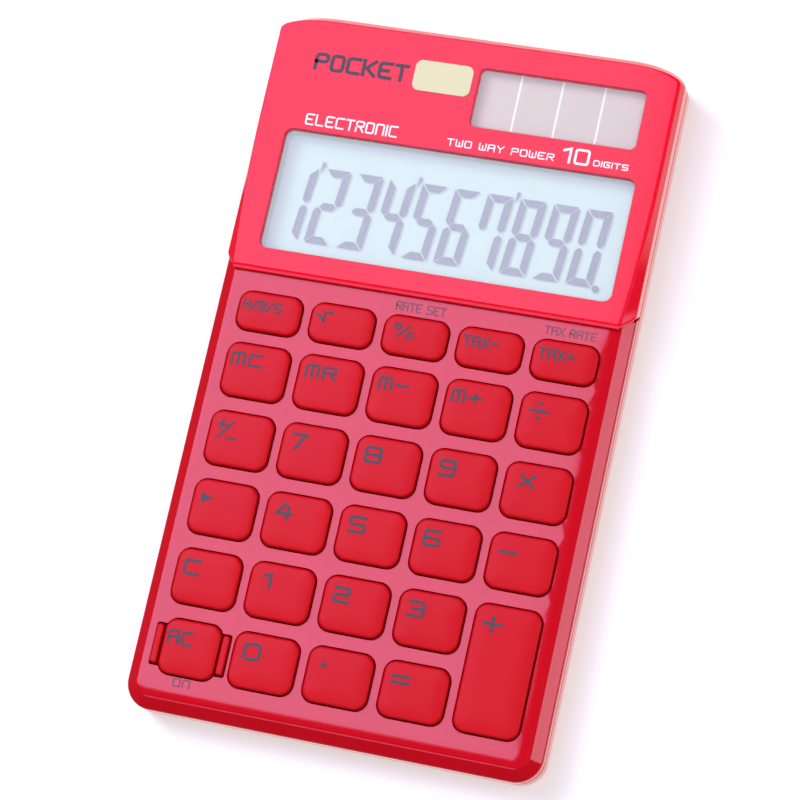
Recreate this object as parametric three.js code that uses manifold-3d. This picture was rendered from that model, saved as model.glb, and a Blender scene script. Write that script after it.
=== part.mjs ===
// Pocket calculator with solar and button-cell power, built as the separate pieces it comes apart into.
// Units are millimetres. The calculator lies on its back: X is its width, Y its length towards the
// display, Z is up out of the keys. The origin is the middle of the flat back.
import * as THREE from 'three';
import { mergeVertices } from 'three/addons/utils/BufferGeometryUtils.js';
import Module from 'manifold-3d';

const wasm = await Module();
wasm.setup();

// ---- Driving dimensions ----------------------------------------------------------------------------

const BODY_WIDTH = 69.6;
const BODY_LENGTH = 119.5;
const BOTTOM_CORNER = 4.5; // corner radius at the key end
const TOP_CORNER = { across: 9.5, along: 3.5 }; // half axes of the flat oval corner at the display end
const WALL = 1.4;
const REACH = 90; // longer than the body, for cutting blocks

// Heights above the flat back
const PARTING_Z = 4.4; // lower edge of the two front shells
const KEY_FACE_Z = 7.8;
const DISPLAY_FACE_Z = 9.0;
const PARTING_GAP = 0.3; // shadow line between the shells
const FLOOR = 1.6; // thickness of the rear case under the board
const REAR_ROUND = 1.8; // rounding of the rear case's lower edge
const TONGUE = { outer: 1.55, inner: 2.15, top: 5.3 }; // rear case's rim inside the front shells' walls
const SIDE_CHAMFER = 1.9; // slanted facet round the front shells
const RIM_INSET = 0.7; // how far the facet comes in over the display shell's top end

// The joint between the two front shells: a rounded lip lying on the key face, slanted back down the sides
const LIP_Y = 14.2;
const LIP_ROUND = 1.1;
const LIP_CLEARANCE = 0.05; // between the lip's underside and the key face
// Where the slanted joint passes, going down
const JOINT = { faceY: 15.5, facetY: 16.3, facetZ: 7.1, partingY: 17.8 };
const FACET_TAPER = { nearY: 14, nearInset: 2.2, farY: 46, slope: 1 };

// Key field
const COLUMN_PITCH = 12.52;
const ROW_PITCH = 11.66;
const FIRST_ROW_Y = -49.15;
const SHORT_ROW_Y = 7.6;
const KEY = { width: 10.8, length: 9.1, corner: 2.0 };
const SHORT_KEY_LENGTH = 6.6;
const GUARDED_KEY_WIDTH = 9.4;
const KEY_TOP_Z = 8.75;
const KEY_CROWN = { drop: 0.35, inset: 0.4 }; // rounded upper edge of a cap
const KEY_GAP = 0.3;
const FLANGE = { reach: 0.5, low: 5.6, high: 6.15, corner: 1.2 };
const STEM = { share: 0.42, low: 5.2 }; // plunger under the cap, as a share of the cap's size

// All-clear key guard: two upright bars on a U-shaped frame under the key face
const GUARD_BAR = { inner: 5.2, outer: 6.2, half: 3.2, round: 0.25, corner: 0.3, top: 8.5 };
const GUARD_FRAME = { yMin: -5.0, yMax: 6.3, low: 5.0, high: 6.1, slack: 0.3 };

// Display parts
const LCD_WINDOW = { x: 0.55, y: 28.8, width: 59.7, length: 20.8, corner: 1.3 };
const SOLAR_WINDOW = { x: 15.15, y: 49.2, width: 28.0, length: 10.1, corner: 0.9 };
const WINDOW = { fit: 0.15, sunk: 0.2, thick: 1.0, flange: 1.0, flangeLow: 7.1, flangeHigh: 7.5 };
const LCD_GLASS = { reach: 1.3, low: 5.9, high: 7.0 };
const LCD_REFLECTOR = { reach: 1.0, low: 5.7, high: 5.85 };
const ZEBRA = { x: 0.55, y: 17.9, width: 54, length: 1.6, slack: 0.05 };
const SOLAR_CELL = { reach: 0.7, low: 6.3, high: 6.95 };
const LABEL = { x: -4.9, y: 51.5, width: 9.9, length: 5.3, corner: 1.2, thick: 0.12, lift: 0.02 };

// Board, mat and power
const BOARD = { width: 64.4, yMin: -57.3, yMax: 23.6, corner: 2.0, low: 2.5, high: 3.5 };
const MAT = { yMin: -54.3, yMax: 11.4, width: 62.0, corner: 2.0, low: 3.55, high: 3.85, domeTop: 4.2 };
const DOME = { share: 0.6, taper: 0.7, corner: 1.4 };
const CHIP = { x: 4, y: -20, radius: 4.2, thick: 0.75, sides: 20 };
const CHIP_DOME = [[0.9, 0.6], [0.55, 0.95]]; // shares of the radius and of the thickness
const CAPACITOR = { x: -21, y: 12, width: 3.2, length: 1.6, thick: 0.7 };
const CELL = { x: -20, y: 35.5, radius: 5.8, low: 2.0, high: 5.05, step: 0.5, sides: 32 };
const CONTACT = { thick: 0.2, width: 3.0, slack: 0.1, apart: 2, farShare: 0.6 };
const CONTACT_BEND = { foot: 2.6, rise: 1.2, rest: 0.6 };
const WIRE = { radius: 0.35, sides: 8, steps: 14, sway: 1.5, positiveX: 8, negativeX: 12 };

// Screws
const CASE_SCREW = { shank: 0.6, head: 1.25, headLow: 0.2, headHigh: 0.9, top: 5.2, sides: 16 };
const BOARD_SCREW = { shank: 0.5, head: 1.1, headLow: 1.75, headHigh: 2.4, top: 5.0, sides: 12 };
const BOSS = { radius: 1.4, low: 1.8, roof: 5.6, slack: 0.15, sides: 16 };
const DISPLAY_BOSS = { ...BOSS, radius: 1.2 };
const BOARD_BOSS = { ...BOSS, radius: 1.3, low: 3.7, roof: 5.4, slack: 0.12 };
const SCREW_SEAT = { depth: 1.0, slack: 0.2 };
const SCREW_CROSS = { long: 1.1, wide: 0.28, deep: 0.6 }; // shares of the head's radius and height
const KEY_CASE_SPOTS = [[-29.8, -56.0], [29.8, -56.0], [-30.6, 13.3], [30.6, 13.3]];
const DISPLAY_COVER_SPOTS = [[-31.1, 41.85], [31.1, 41.85]];
const CASE_SCREW_SPOTS = [...KEY_CASE_SPOTS, ...DISPLAY_COVER_SPOTS];
const BOARD_SCREW_SPOTS = [[-15, -56.0], [15, -56.0], [-15, 13.3], [15, 13.3]];

// ---- Materials -------------------------------------------------------------------------------------

function finish(color, roughness, metalness = 0, opacity = 1) {
  return new THREE.MeshStandardMaterial({ color, roughness, metalness, opacity, transparent: opacity < 1 });
}

const RED_GLOSS = finish(0xd0101e, 0.15);
const RED_SATIN = finish(0xe02434, 0.4);
const CLEAR = finish(0xeef4f6, 0.05, 0, 0.3);
const LCD_GREY = finish(0xdfeaee, 0.3);
const FOIL = finish(0xf0edcf, 0.35);
const SOLAR = finish(0xd9d0cf, 0.25);
const BOARD_BROWN = finish(0xb08a52, 0.6);
const SILICONE = finish(0xd6d3cb, 0.7);
const EPOXY = finish(0x16161a, 0.4);
const CERAMIC = finish(0x9a7b5a, 0.5);
const STEEL = finish(0xb9bcc0, 0.3, 1);
const WIRE_RED = finish(0xb01818, 0.5);
const WIRE_BLACK = finish(0x202022, 0.5);

// ---- Geometry helpers ------------------------------------------------------------------------------

function toSolid(geometry) {
  const bare = geometry.clone();
  bare.deleteAttribute('normal');
  bare.deleteAttribute('uv');
  const merged = mergeVertices(bare, 1e-4);
  const mesh = new wasm.Mesh({
    numProp: 3,
    vertProperties: new Float32Array(merged.attributes.position.array),
    triVerts: new Uint32Array(merged.index.array),
  });
  return new wasm.Manifold(mesh);
}

function toGeometry(solid) {
  const mesh = solid.getMesh();
  const geometry = new THREE.BufferGeometry();
  geometry.setAttribute('position', new THREE.BufferAttribute(new Float32Array(mesh.vertProperties), 3));
  geometry.setIndex(new THREE.BufferAttribute(new Uint32Array(mesh.triVerts), 1));
  geometry.computeVertexNormals();
  return geometry;
}

// A rectangle with round corners about the point (x, y)
function roundRect(width, length, corner, x = 0, y = 0) {
  const [w, l] = [width / 2 - corner, length / 2 - corner];
  const shape = new THREE.Shape();
  shape.absarc(x + w, y - l, corner, -Math.PI / 2, 0);
  shape.absarc(x + w, y + l, corner, 0, Math.PI / 2);
  shape.absarc(x - w, y + l, corner, Math.PI / 2, Math.PI);
  shape.absarc(x - w, y - l, corner, Math.PI, Math.PI * 1.5);
  shape.closePath();
  return shape;
}

// The calculator's plan outline, drawn in by inset all round
function bodyOutline(inset = 0) {
  const [w, l] = [BODY_WIDTH / 2 - inset, BODY_LENGTH / 2 - inset];
  const corner = BOTTOM_CORNER - inset;
  const [across, along] = [TOP_CORNER.across - inset, TOP_CORNER.along - inset];
  const shape = new THREE.Shape();
  shape.absarc(w - corner, corner - l, corner, -Math.PI / 2, 0);
  shape.absellipse(w - across, l - along, across, along, 0, Math.PI / 2);
  shape.absellipse(across - w, l - along, across, along, Math.PI / 2, Math.PI);
  shape.absarc(corner - w, corner - l, corner, Math.PI, Math.PI * 1.5);
  shape.closePath();
  return shape;
}

// A flat plate between two heights
function plate(shape, low, high, curveSegments = 2) {
  const options = { depth: high - low, bevelEnabled: false, curveSegments };
  return new THREE.ExtrudeGeometry(shape, options).translate(0, 0, low);
}

// A plate whose two edges are rounded or chamfered inside its outline
function softPlate(shape, low, high, edge) {
  const { size, thickness, segments, curveSegments = 2 } = edge;
  const geometry = new THREE.ExtrudeGeometry(shape, {
    depth: high - low - 2 * thickness,
    bevelEnabled: true,
    bevelSize: size,
    bevelOffset: -size,
    bevelThickness: thickness,
    bevelSegments: segments,
    curveSegments,
  });
  return geometry.translate(0, 0, low + thickness);
}

function post(x, y, radius, low, high, sides) {
  const geometry = new THREE.CylinderGeometry(radius, radius, high - low, sides);
  return geometry.rotateX(Math.PI / 2).translate(x, y, (low + high) / 2);
}

function block(x, y, width, length, low, high) {
  return new THREE.BoxGeometry(width, length, high - low).translate(x, y, (low + high) / 2);
}

// A prism across the whole width from a side profile of [y, z] points
function sidePrism(profile) {
  const shape = new THREE.Shape(profile.map(([y, z]) => new THREE.Vector2(y, z)));
  const geometry = new THREE.ExtrudeGeometry(shape, { depth: REACH, bevelEnabled: false });
  return geometry.translate(0, 0, -REACH / 2).rotateY(Math.PI / 2).rotateX(Math.PI / 2);
}

function cutAll(solid, geometries) {
  return geometries.reduce((rest, geometry) => rest.subtract(toSolid(geometry)), solid);
}

function addAll(solid, geometries) {
  return geometries.reduce((whole, geometry) => whole.add(toSolid(geometry)), solid);
}

// ---- The assembly ----------------------------------------------------------------------------------

const calculator = new THREE.Group();

function place(name, geometry, material, x = 0, y = 0) {
  const mesh = new THREE.Mesh(geometry, material.clone());
  mesh.name = name;
  mesh.position.set(x, y, 0);
  calculator.add(mesh);
}

// ---- Keys: name, column, row, and what differs from the plain cap ------------------------------------

function keyLayout() {
  const rows = [
    ['all_clear', '0', 'decimal', 'equals'],
    ['clear', '1', '2', '3'],
    ['backspace', '4', '5', '6', 'minus'],
    ['sign', '7', '8', '9', 'times'],
    ['memory_clear', 'memory_recall', 'memory_minus', 'memory_plus', 'divide'],
  ];
  const short = ['time_format', 'square_root', 'percent', 'tax_minus', 'tax_plus'];
  const columnX = (column) => (column - 2) * COLUMN_PITCH;
  const keys = rows.flatMap((names, row) => names.map((name, column) => ({
    name,
    x: columnX(column),
    y: FIRST_ROW_Y + row * ROW_PITCH,
    width: name === 'all_clear' ? GUARDED_KEY_WIDTH : KEY.width,
    length: KEY.length,
    guarded: name === 'all_clear',
  })));
  const tall = { name: 'plus', x: columnX(4), y: FIRST_ROW_Y + ROW_PITCH / 2, width: KEY.width };
  keys.push({ ...tall, length: KEY.length + ROW_PITCH, guarded: false });
  short.forEach((name, column) => {
    const size = { width: KEY.width, length: SHORT_KEY_LENGTH };
    keys.push({ name, x: columnX(column), y: SHORT_ROW_Y, ...size, guarded: false });
  });
  return keys;
}

const KEYS = keyLayout();

// One cap: crowned top, retaining flange under the key face, and the plunger that meets its dome
function keycap({ width, length, guarded }) {
  const edge = { size: KEY_CROWN.inset, thickness: KEY_CROWN.drop, segments: 2, curveSegments: 1 };
  const capLow = FLANGE.low + KEY_GAP / 2;
  const cap = softPlate(roundRect(width, length, KEY.corner), capLow, KEY_TOP_Z, edge);
  const sideReach = guarded ? 0 : FLANGE.reach;
  const flange = roundRect(width + 2 * sideReach, length + 2 * FLANGE.reach, FLANGE.corner);
  const stem = roundRect(width * STEM.share, length * STEM.share, FLANGE.corner / 2);
  return toGeometry(addAll(toSolid(cap), [
    plate(flange, FLANGE.low, FLANGE.high, 1),
    plate(stem, STEM.low, FLANGE.high - KEY_GAP / 2, 1),
  ]));
}

function keyHoles() {
  const holes = KEYS.map(({ x, y, width, length }) => {
    const hole = roundRect(width + 2 * KEY_GAP, length + 2 * KEY_GAP, KEY.corner + KEY_GAP, x, y);
    return plate(hole, PARTING_Z, DISPLAY_FACE_Z, 1);
  });
  const { x, y } = KEYS.find((key) => key.guarded);
  const { slack } = GUARD_FRAME;
  const notch = roundRect(2 * (GUARD_BAR.outer + slack), 2 * (GUARD_BAR.half + slack), 2 * slack, x, y);
  holes.push(plate(notch, PARTING_Z, DISPLAY_FACE_Z, 1));
  return holes;
}

// U-shaped frame under the key face with a bar standing up on each side of the all-clear key
function keyGuard() {
  const { yMin, yMax, low, high } = GUARD_FRAME;
  const barWidth = GUARD_BAR.outer - GUARD_BAR.inner;
  const frame = toSolid(block(0, (yMin + yMax) / 2, 2 * GUARD_BAR.outer, yMax - yMin, low, high));
  const hollow = block(0, yMin - barWidth, 2 * GUARD_BAR.inner, 2 * (yMax - yMin), low - 1, high + 1);
  const edge = { size: GUARD_BAR.round, thickness: GUARD_BAR.round, segments: 1, curveSegments: 1 };
  const bars = [-1, 1].map((side) => {
    const bar = roundRect(barWidth, 2 * GUARD_BAR.half, GUARD_BAR.corner);
    const middle = (side * (GUARD_BAR.inner + GUARD_BAR.outer)) / 2;
    return softPlate(bar, low, GUARD_BAR.top, edge).translate(middle, 0, 0);
  });
  return toGeometry(addAll(cutAll(frame, [hollow]), bars));
}

// ---- Shells ----------------------------------------------------------------------------------------

// Region of the display shell: behind the slanted joint, with a rounded lip above the key face
function displayRegion(back = 0) {
  const lipZ = KEY_FACE_Z + LIP_CLEARANCE;
  const below = -1;
  const lip = [];
  const steps = 4;
  for (let i = 0; i <= steps; i += 1) {
    const turn = (Math.PI / 2) * (i / steps);
    lip.push([LIP_Y + LIP_ROUND * (1 - Math.cos(turn)), lipZ + (DISPLAY_FACE_Z - lipZ) * Math.sin(turn)]);
  }
  const profile = [
    [JOINT.partingY, below],
    [JOINT.partingY, PARTING_Z],
    [JOINT.facetY, JOINT.facetZ],
    [JOINT.faceY, lipZ],
    ...lip,
    [LIP_Y + LIP_ROUND, DISPLAY_FACE_Z + 1],
    [REACH, DISPLAY_FACE_Z + 1],
    [REACH, below],
  ];
  return sidePrism(profile.map(([y, z]) => [y + back, z]));
}

function aboveParting(solid) {
  return solid.subtract(toSolid(block(0, 0, 2 * REACH, 2 * REACH, -REACH, PARTING_Z)));
}

function bosses(spots, boss, faceZ = KEY_FACE_Z) {
  return spots.map(([x, y]) => post(x, y, boss.radius, boss.low, faceZ - WALL / 2, boss.sides));
}

function bossBores(spots, boss, screw) {
  return spots.map(([x, y]) => post(x, y, screw.shank + boss.slack, boss.low - 1, boss.roof, screw.sides));
}

function keyCase() {
  const facet = { size: SIDE_CHAMFER, thickness: SIDE_CHAMFER, segments: 1, curveSegments: 4 };
  const skin = softPlate(bodyOutline(), PARTING_Z - 2 * SIDE_CHAMFER, KEY_FACE_Z, facet);
  const hollow = plate(bodyOutline(WALL), -1, KEY_FACE_Z - WALL, 3);
  const shell = cutAll(aboveParting(toSolid(skin)), [hollow, displayRegion(-PARTING_GAP), ...keyHoles()]);
  const roots = [...bosses(KEY_CASE_SPOTS, BOSS), ...bosses(BOARD_SCREW_SPOTS, BOARD_BOSS)];
  return toGeometry(cutAll(addAll(shell, roots), [
    ...bossBores(KEY_CASE_SPOTS, BOSS, CASE_SCREW),
    ...bossBores(BOARD_SCREW_SPOTS, BOARD_BOSS, BOARD_SCREW),
  ]));
}

// Facet along one side of the display shell, widest at the lip and running out towards the top
function taperedFacet(side) {
  const { nearY, nearInset, farY, slope } = FACET_TAPER;
  const halfWidth = BODY_WIDTH / 2;
  const cutter = new THREE.BoxGeometry(REACH, REACH, REACH).translate(REACH / 2, 0, 0);
  const along = new THREE.Vector3(nearInset, farY - nearY, 0).normalize();
  const down = new THREE.Vector3(1, 0, -slope).normalize();
  const outward = new THREE.Vector3().crossVectors(down, along).normalize();
  const across = new THREE.Vector3().crossVectors(outward, along);
  const frame = new THREE.Matrix4().makeBasis(outward, along, across);
  frame.setPosition(halfWidth - nearInset, nearY, DISPLAY_FACE_Z);
  cutter.applyMatrix4(frame);
  return side > 0 ? toSolid(cutter) : toSolid(cutter).mirror([1, 0, 0]);
}

function windowOpening({ x, y, width, length, corner }) {
  const { fit } = WINDOW;
  const outline = roundRect(width + 2 * fit, length + 2 * fit, corner + fit, x, y);
  return plate(outline, PARTING_Z, DISPLAY_FACE_Z + 1);
}

function displayCover() {
  const facet = { size: RIM_INSET, thickness: SIDE_CHAMFER, segments: 1, curveSegments: 4 };
  const skin = softPlate(bodyOutline(), PARTING_Z - 2 * SIDE_CHAMFER, DISPLAY_FACE_Z, facet);
  const hollow = plate(bodyOutline(WALL), -1, DISPLAY_FACE_Z - WALL, 3);
  const half = aboveParting(toSolid(skin)).intersect(toSolid(displayRegion()));
  const faceted = half.subtract(taperedFacet(1)).subtract(taperedFacet(-1));
  const shell = cutAll(faceted, [hollow, windowOpening(LCD_WINDOW), windowOpening(SOLAR_WINDOW)]);
  const bossed = addAll(shell, bosses(DISPLAY_COVER_SPOTS, DISPLAY_BOSS, DISPLAY_FACE_Z));
  return toGeometry(cutAll(bossed, bossBores(DISPLAY_COVER_SPOTS, DISPLAY_BOSS, CASE_SCREW)));
}

function rearCase() {
  const edge = { size: REAR_ROUND, thickness: REAR_ROUND, segments: 3, curveSegments: 4 };
  const skin = toSolid(softPlate(bodyOutline(), 0, TONGUE.top + 2 * REAR_ROUND, edge));
  const above = block(0, 0, 2 * REACH, 2 * REACH, TONGUE.top, REACH);
  const aboveRim = block(0, 0, 2 * REACH, 2 * REACH, PARTING_Z - PARTING_GAP, REACH);
  const shoulder = toSolid(aboveRim).subtract(toSolid(plate(bodyOutline(TONGUE.outer), 0, REACH, 3)));
  const hollow = plate(bodyOutline(TONGUE.inner), FLOOR, REACH, 3);
  const seats = CASE_SCREW_SPOTS.flatMap(([x, y]) => [
    post(x, y, CASE_SCREW.head + SCREW_SEAT.slack, -1, SCREW_SEAT.depth, CASE_SCREW.sides),
    post(x, y, CASE_SCREW.shank + SCREW_SEAT.slack, -1, FLOOR + 1, CASE_SCREW.sides),
  ]);
  return toGeometry(cutAll(skin.subtract(shoulder), [above, hollow, ...seats]));
}

// ---- Windows, display and light cell ------------------------------------------------------------------

// Clear pane standing in its opening, with a flange behind the shell
function windowPane({ width, length, corner }) {
  const top = DISPLAY_FACE_Z - WINDOW.sunk;
  const pane = plate(roundRect(width, length, corner), WINDOW.flangeLow, top);
  const reach = 2 * WINDOW.flange;
  const rim = roundRect(width + reach, length + reach, corner);
  const flange = plate(rim, WINDOW.flangeLow, WINDOW.flangeHigh, 1);
  return toGeometry(addAll(toSolid(pane), [flange]));
}

function backing({ width, length, corner }, { reach, low, high }) {
  return plate(roundRect(width + 2 * reach, length + 2 * reach, corner), low, high, 1);
}

// ---- Board, mat and power -------------------------------------------------------------------------------

function circuitBoard() {
  const { width, yMin, yMax, corner, low, high } = BOARD;
  const sheet = plate(roundRect(width, yMax - yMin, corner, 0, (yMin + yMax) / 2), low, high);
  const holeRadius = BOSS.radius + 2 * KEY_GAP;
  const boreRadius = BOARD_SCREW.shank + BOARD_BOSS.slack;
  const holes = KEY_CASE_SPOTS.map(([x, y]) => post(x, y, holeRadius, 0, REACH, BOSS.sides));
  const bores = BOARD_SCREW_SPOTS.map(([x, y]) => post(x, y, boreRadius, 0, REACH, BOARD_SCREW.sides));
  return toGeometry(cutAll(toSolid(sheet), [...holes, ...bores]));
}

// Silicone sheet with one low dome under each plunger
function keyMat() {
  const middle = (MAT.yMin + MAT.yMax) / 2;
  const sheet = plate(roundRect(MAT.width, MAT.yMax - MAT.yMin, MAT.corner, 0, middle), MAT.low, MAT.high, 1);
  const domes = KEYS.map(({ x, y, width, length }) => {
    const rise = MAT.domeTop - MAT.high;
    const edge = { size: rise * DOME.taper, thickness: rise, segments: 1, curveSegments: 1 };
    const outline = roundRect(width * DOME.share, length * DOME.share, DOME.corner, x, y);
    return softPlate(outline, MAT.high - 3 * rise, MAT.domeTop, edge);
  });
  const below = block(0, 0, 2 * REACH, 2 * REACH, -REACH, MAT.low);
  return toGeometry(cutAll(addAll(toSolid(sheet), domes), [below]));
}

// Drop of potting resin hanging under the board
function chipBlob() {
  const { radius, thick, sides } = CHIP;
  const dome = CHIP_DOME.map(([out, down]) => [radius * out, -thick * down]);
  const profile = [[0, 0], [radius, 0], ...dome, [0, -thick]];
  const points = profile.map(([r, h]) => new THREE.Vector2(r, h)).reverse();
  const drop = new THREE.LatheGeometry(points, sides).rotateX(Math.PI / 2);
  return drop.translate(0, 0, BOARD.low - CONTACT.slack);
}

function buttonCell() {
  const { radius, low, high, step, sides } = CELL;
  const shoulder = radius - step;
  const profile = [
    [0, low], [shoulder, low], [shoulder, low + step], [radius, low + 2 * step], [radius, high], [0, high],
  ];
  const points = profile.map(([r, h]) => new THREE.Vector2(r, h));
  return new THREE.LatheGeometry(points, sides).rotateX(Math.PI / 2);
}

// Leaf spring from the board's edge over or under the cell, cut from strip and bent
function contactLeaf(x, farY, farZ, nearZ) {
  const { thick, width } = CONTACT;
  const { foot, rise, rest } = CONTACT_BEND;
  const nearY = BOARD.yMax - foot;
  const rampY = BOARD.yMax + rise;
  const restY = CELL.y - CELL.radius - rest;
  const centreline = [[nearY, nearZ], [rampY, nearZ], [restY, farZ], [farY, farZ]];
  const upper = centreline.map(([y, z]) => [y, z + thick / 2]);
  const lower = centreline.map(([y, z]) => [y, z - thick / 2]).reverse();
  const shape = new THREE.Shape([...upper, ...lower].map(([y, z]) => new THREE.Vector2(y, z)));
  const strip = new THREE.ExtrudeGeometry(shape, { depth: width, bevelEnabled: false });
  return strip.translate(0, 0, -width / 2).rotateY(Math.PI / 2).rotateX(Math.PI / 2).translate(x, 0, 0);
}

// Insulated lead from the back of the light cell, behind the display glass, to the board's top edge
function lightCellWire(x) {
  const { sway } = WIRE;
  const route = new THREE.CatmullRomCurve3([
    new THREE.Vector3(x, SOLAR_WINDOW.y - 2, SOLAR_CELL.low - 0.6),
    new THREE.Vector3(x + sway, SOLAR_WINDOW.y - 6, SOLAR_CELL.low - 1.2),
    new THREE.Vector3(x - sway, LCD_WINDOW.y + 6, 4.6),
    new THREE.Vector3(x, LCD_WINDOW.y, 4.4),
    new THREE.Vector3(x, BOARD.yMax - 1.4, 4.1),
  ]);
  const section = new THREE.Shape();
  section.absarc(0, 0, WIRE.radius, 0, Math.PI * 2);
  return new THREE.ExtrudeGeometry(section, {
    steps: WIRE.steps,
    extrudePath: route,
    bevelEnabled: false,
    curveSegments: WIRE.sides / 2,
  });
}

// Pan-head screw, head down, with a cross recess
function panScrew({ shank, head, headLow, headHigh, top, sides }) {
  const shaft = toSolid(post(0, 0, shank, headLow + 0.2, top, sides));
  const cap = toSolid(post(0, 0, head, headLow, headHigh, sides));
  const [long, wide] = [head * SCREW_CROSS.long, head * SCREW_CROSS.wide];
  const deep = headLow + (headHigh - headLow) * SCREW_CROSS.deep;
  const cross = [block(0, 0, long, wide, headLow - 1, deep), block(0, 0, wide, long, headLow - 1, deep)];
  return toGeometry(cutAll(cap.add(shaft), cross));
}

// ---- Put the pieces together ------------------------------------------------------------------------

function placeShells() {
  place('rear_case', rearCase(), RED_GLOSS);
  place('key_case', keyCase(), RED_GLOSS);
  place('display_cover', displayCover(), RED_GLOSS);
}

function placeKeys() {
  KEYS.forEach((key) => place(`key_${key.name}`, keycap(key), RED_SATIN, key.x, key.y));
  const { x, y } = KEYS.find((key) => key.guarded);
  place('all_clear_guard', keyGuard(), RED_SATIN, x, y);
}

function placeDisplay() {
  place('display_window', windowPane(LCD_WINDOW), CLEAR, LCD_WINDOW.x, LCD_WINDOW.y);
  place('solar_window', windowPane(SOLAR_WINDOW), CLEAR, SOLAR_WINDOW.x, SOLAR_WINDOW.y);
  place('lcd_glass', backing(LCD_WINDOW, LCD_GLASS), LCD_GREY, LCD_WINDOW.x, LCD_WINDOW.y);
  place('lcd_reflector', backing(LCD_WINDOW, LCD_REFLECTOR), LCD_GREY, LCD_WINDOW.x, LCD_WINDOW.y);
  place('solar_cell', backing(SOLAR_WINDOW, SOLAR_CELL), SOLAR, SOLAR_WINDOW.x, SOLAR_WINDOW.y);
  const { slack, width, length } = ZEBRA;
  const rubber = block(0, 0, width, length, BOARD.high + slack, LCD_REFLECTOR.low - slack);
  place('zebra_connector', rubber, SILICONE, ZEBRA.x, ZEBRA.y);
  const low = DISPLAY_FACE_Z + LABEL.lift;
  const sticker = plate(roundRect(LABEL.width, LABEL.length, LABEL.corner), low, low + LABEL.thick, 3);
  place('blank_label', sticker, FOIL, LABEL.x, LABEL.y);
}

function placeElectronics() {
  place('circuit_board', circuitBoard(), BOARD_BROWN);
  place('key_mat', keyMat(), SILICONE);
  place('chip_blob', chipBlob(), EPOXY, CHIP.x, CHIP.y);
  const { width, length, thick } = CAPACITOR;
  const top = BOARD.low - CONTACT.slack;
  place('capacitor', block(0, 0, width, length, top - thick, top), CERAMIC, CAPACITOR.x, CAPACITOR.y);
  place('button_cell', buttonCell(), STEEL, CELL.x, CELL.y);
  const half = CONTACT.thick / 2 + CONTACT.slack;
  const { apart, farShare } = CONTACT;
  const farY = CELL.y + CELL.radius * farShare;
  const over = contactLeaf(CELL.x + apart, farY, CELL.high + half, BOARD.high + half);
  const under = contactLeaf(CELL.x - apart, farY, CELL.low - half, BOARD.low - half);
  place('battery_contact_positive', over, STEEL);
  place('battery_contact_negative', under, STEEL);
  place('solar_wire_positive', lightCellWire(WIRE.positiveX), WIRE_RED);
  place('solar_wire_negative', lightCellWire(WIRE.negativeX), WIRE_BLACK);
}

function placeScrews() {
  CASE_SCREW_SPOTS.forEach(([x, y], i) => place(`case_screw_${i + 1}`, panScrew(CASE_SCREW), STEEL, x, y));
  BOARD_SCREW_SPOTS.forEach(([x, y], i) => place(`board_screw_${i + 1}`, panScrew(BOARD_SCREW), STEEL, x, y));
}

placeShells();
placeKeys();
placeDisplay();
placeElectronics();
placeScrews();

export default calculator;
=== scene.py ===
"""Looks of a slim pocket calculator: glossy shells, satin keys with legends, display and light cell.

The calculator lies on its flat back on a pale studio sweep. Sizes inside the classes are millimetres in
the frame's own axes; MeshDraft turns them into metres.
"""

from __future__ import annotations

import logging
import math
from dataclasses import dataclass, field
from enum import Enum
from functools import lru_cache, partial
from typing import Any, Callable, ClassVar, Iterable, Sequence

import bmesh
import bpy
from mathutils import Matrix, Vector
from mathutils.geometry import delaunay_2d_cdt


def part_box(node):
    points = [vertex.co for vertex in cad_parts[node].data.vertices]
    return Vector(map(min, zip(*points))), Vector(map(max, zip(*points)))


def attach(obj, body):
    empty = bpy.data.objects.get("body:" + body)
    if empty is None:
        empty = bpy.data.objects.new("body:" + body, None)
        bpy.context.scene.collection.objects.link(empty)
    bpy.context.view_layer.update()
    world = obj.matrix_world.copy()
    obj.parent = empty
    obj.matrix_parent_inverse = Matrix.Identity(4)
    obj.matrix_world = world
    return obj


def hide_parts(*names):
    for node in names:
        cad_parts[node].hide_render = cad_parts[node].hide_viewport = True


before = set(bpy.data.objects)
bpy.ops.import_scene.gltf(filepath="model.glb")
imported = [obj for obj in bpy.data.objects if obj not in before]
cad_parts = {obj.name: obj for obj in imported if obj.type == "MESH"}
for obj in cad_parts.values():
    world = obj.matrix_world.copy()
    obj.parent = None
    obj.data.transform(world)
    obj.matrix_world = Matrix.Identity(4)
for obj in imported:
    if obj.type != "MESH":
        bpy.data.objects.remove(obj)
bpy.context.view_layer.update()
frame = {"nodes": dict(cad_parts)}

LOG = logging.getLogger("calculator")
MM = 0.001
CASE = "case"

Point = tuple[float, float]
Point3 = tuple[float, float, float]
Tree = bpy.types.NodeTree
Socket = bpy.types.NodeSocket
HeightAt = Callable[[float, float], float]
QUARTER_TURN = math.radians(90)
PRINT_THICK = 0.03
FACE_PRINT_THICK = 0.02
KEY_GAP = 0.18
WINDOW_LAP = 0.94
PRINT_SUNK = 0.004
STROKE_LIFT = 0.003
LONGEST_MITRE = 2.2
FOLLOW_STEP = 0.4


# ---- Small tools ----------------------------------------


def linear(colour: str, alpha: float = 1.0) -> tuple[float, float, float, float]:
    """Turns an sRGB hex colour into linear light.

    Args:
        colour: Six hex digits after a hash sign.
        alpha: Opacity to carry along.

    Returns:
        Red, green, blue and alpha for a shader socket.
    """
    parts = [int(colour[i : i + 2], 16) / 255 for i in (1, 3, 5)]
    red, green, blue = [c / 12.92 if c <= 0.04045 else ((c + 0.055) / 1.055) ** 2.4 for c in parts]
    return red, green, blue, alpha


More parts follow.
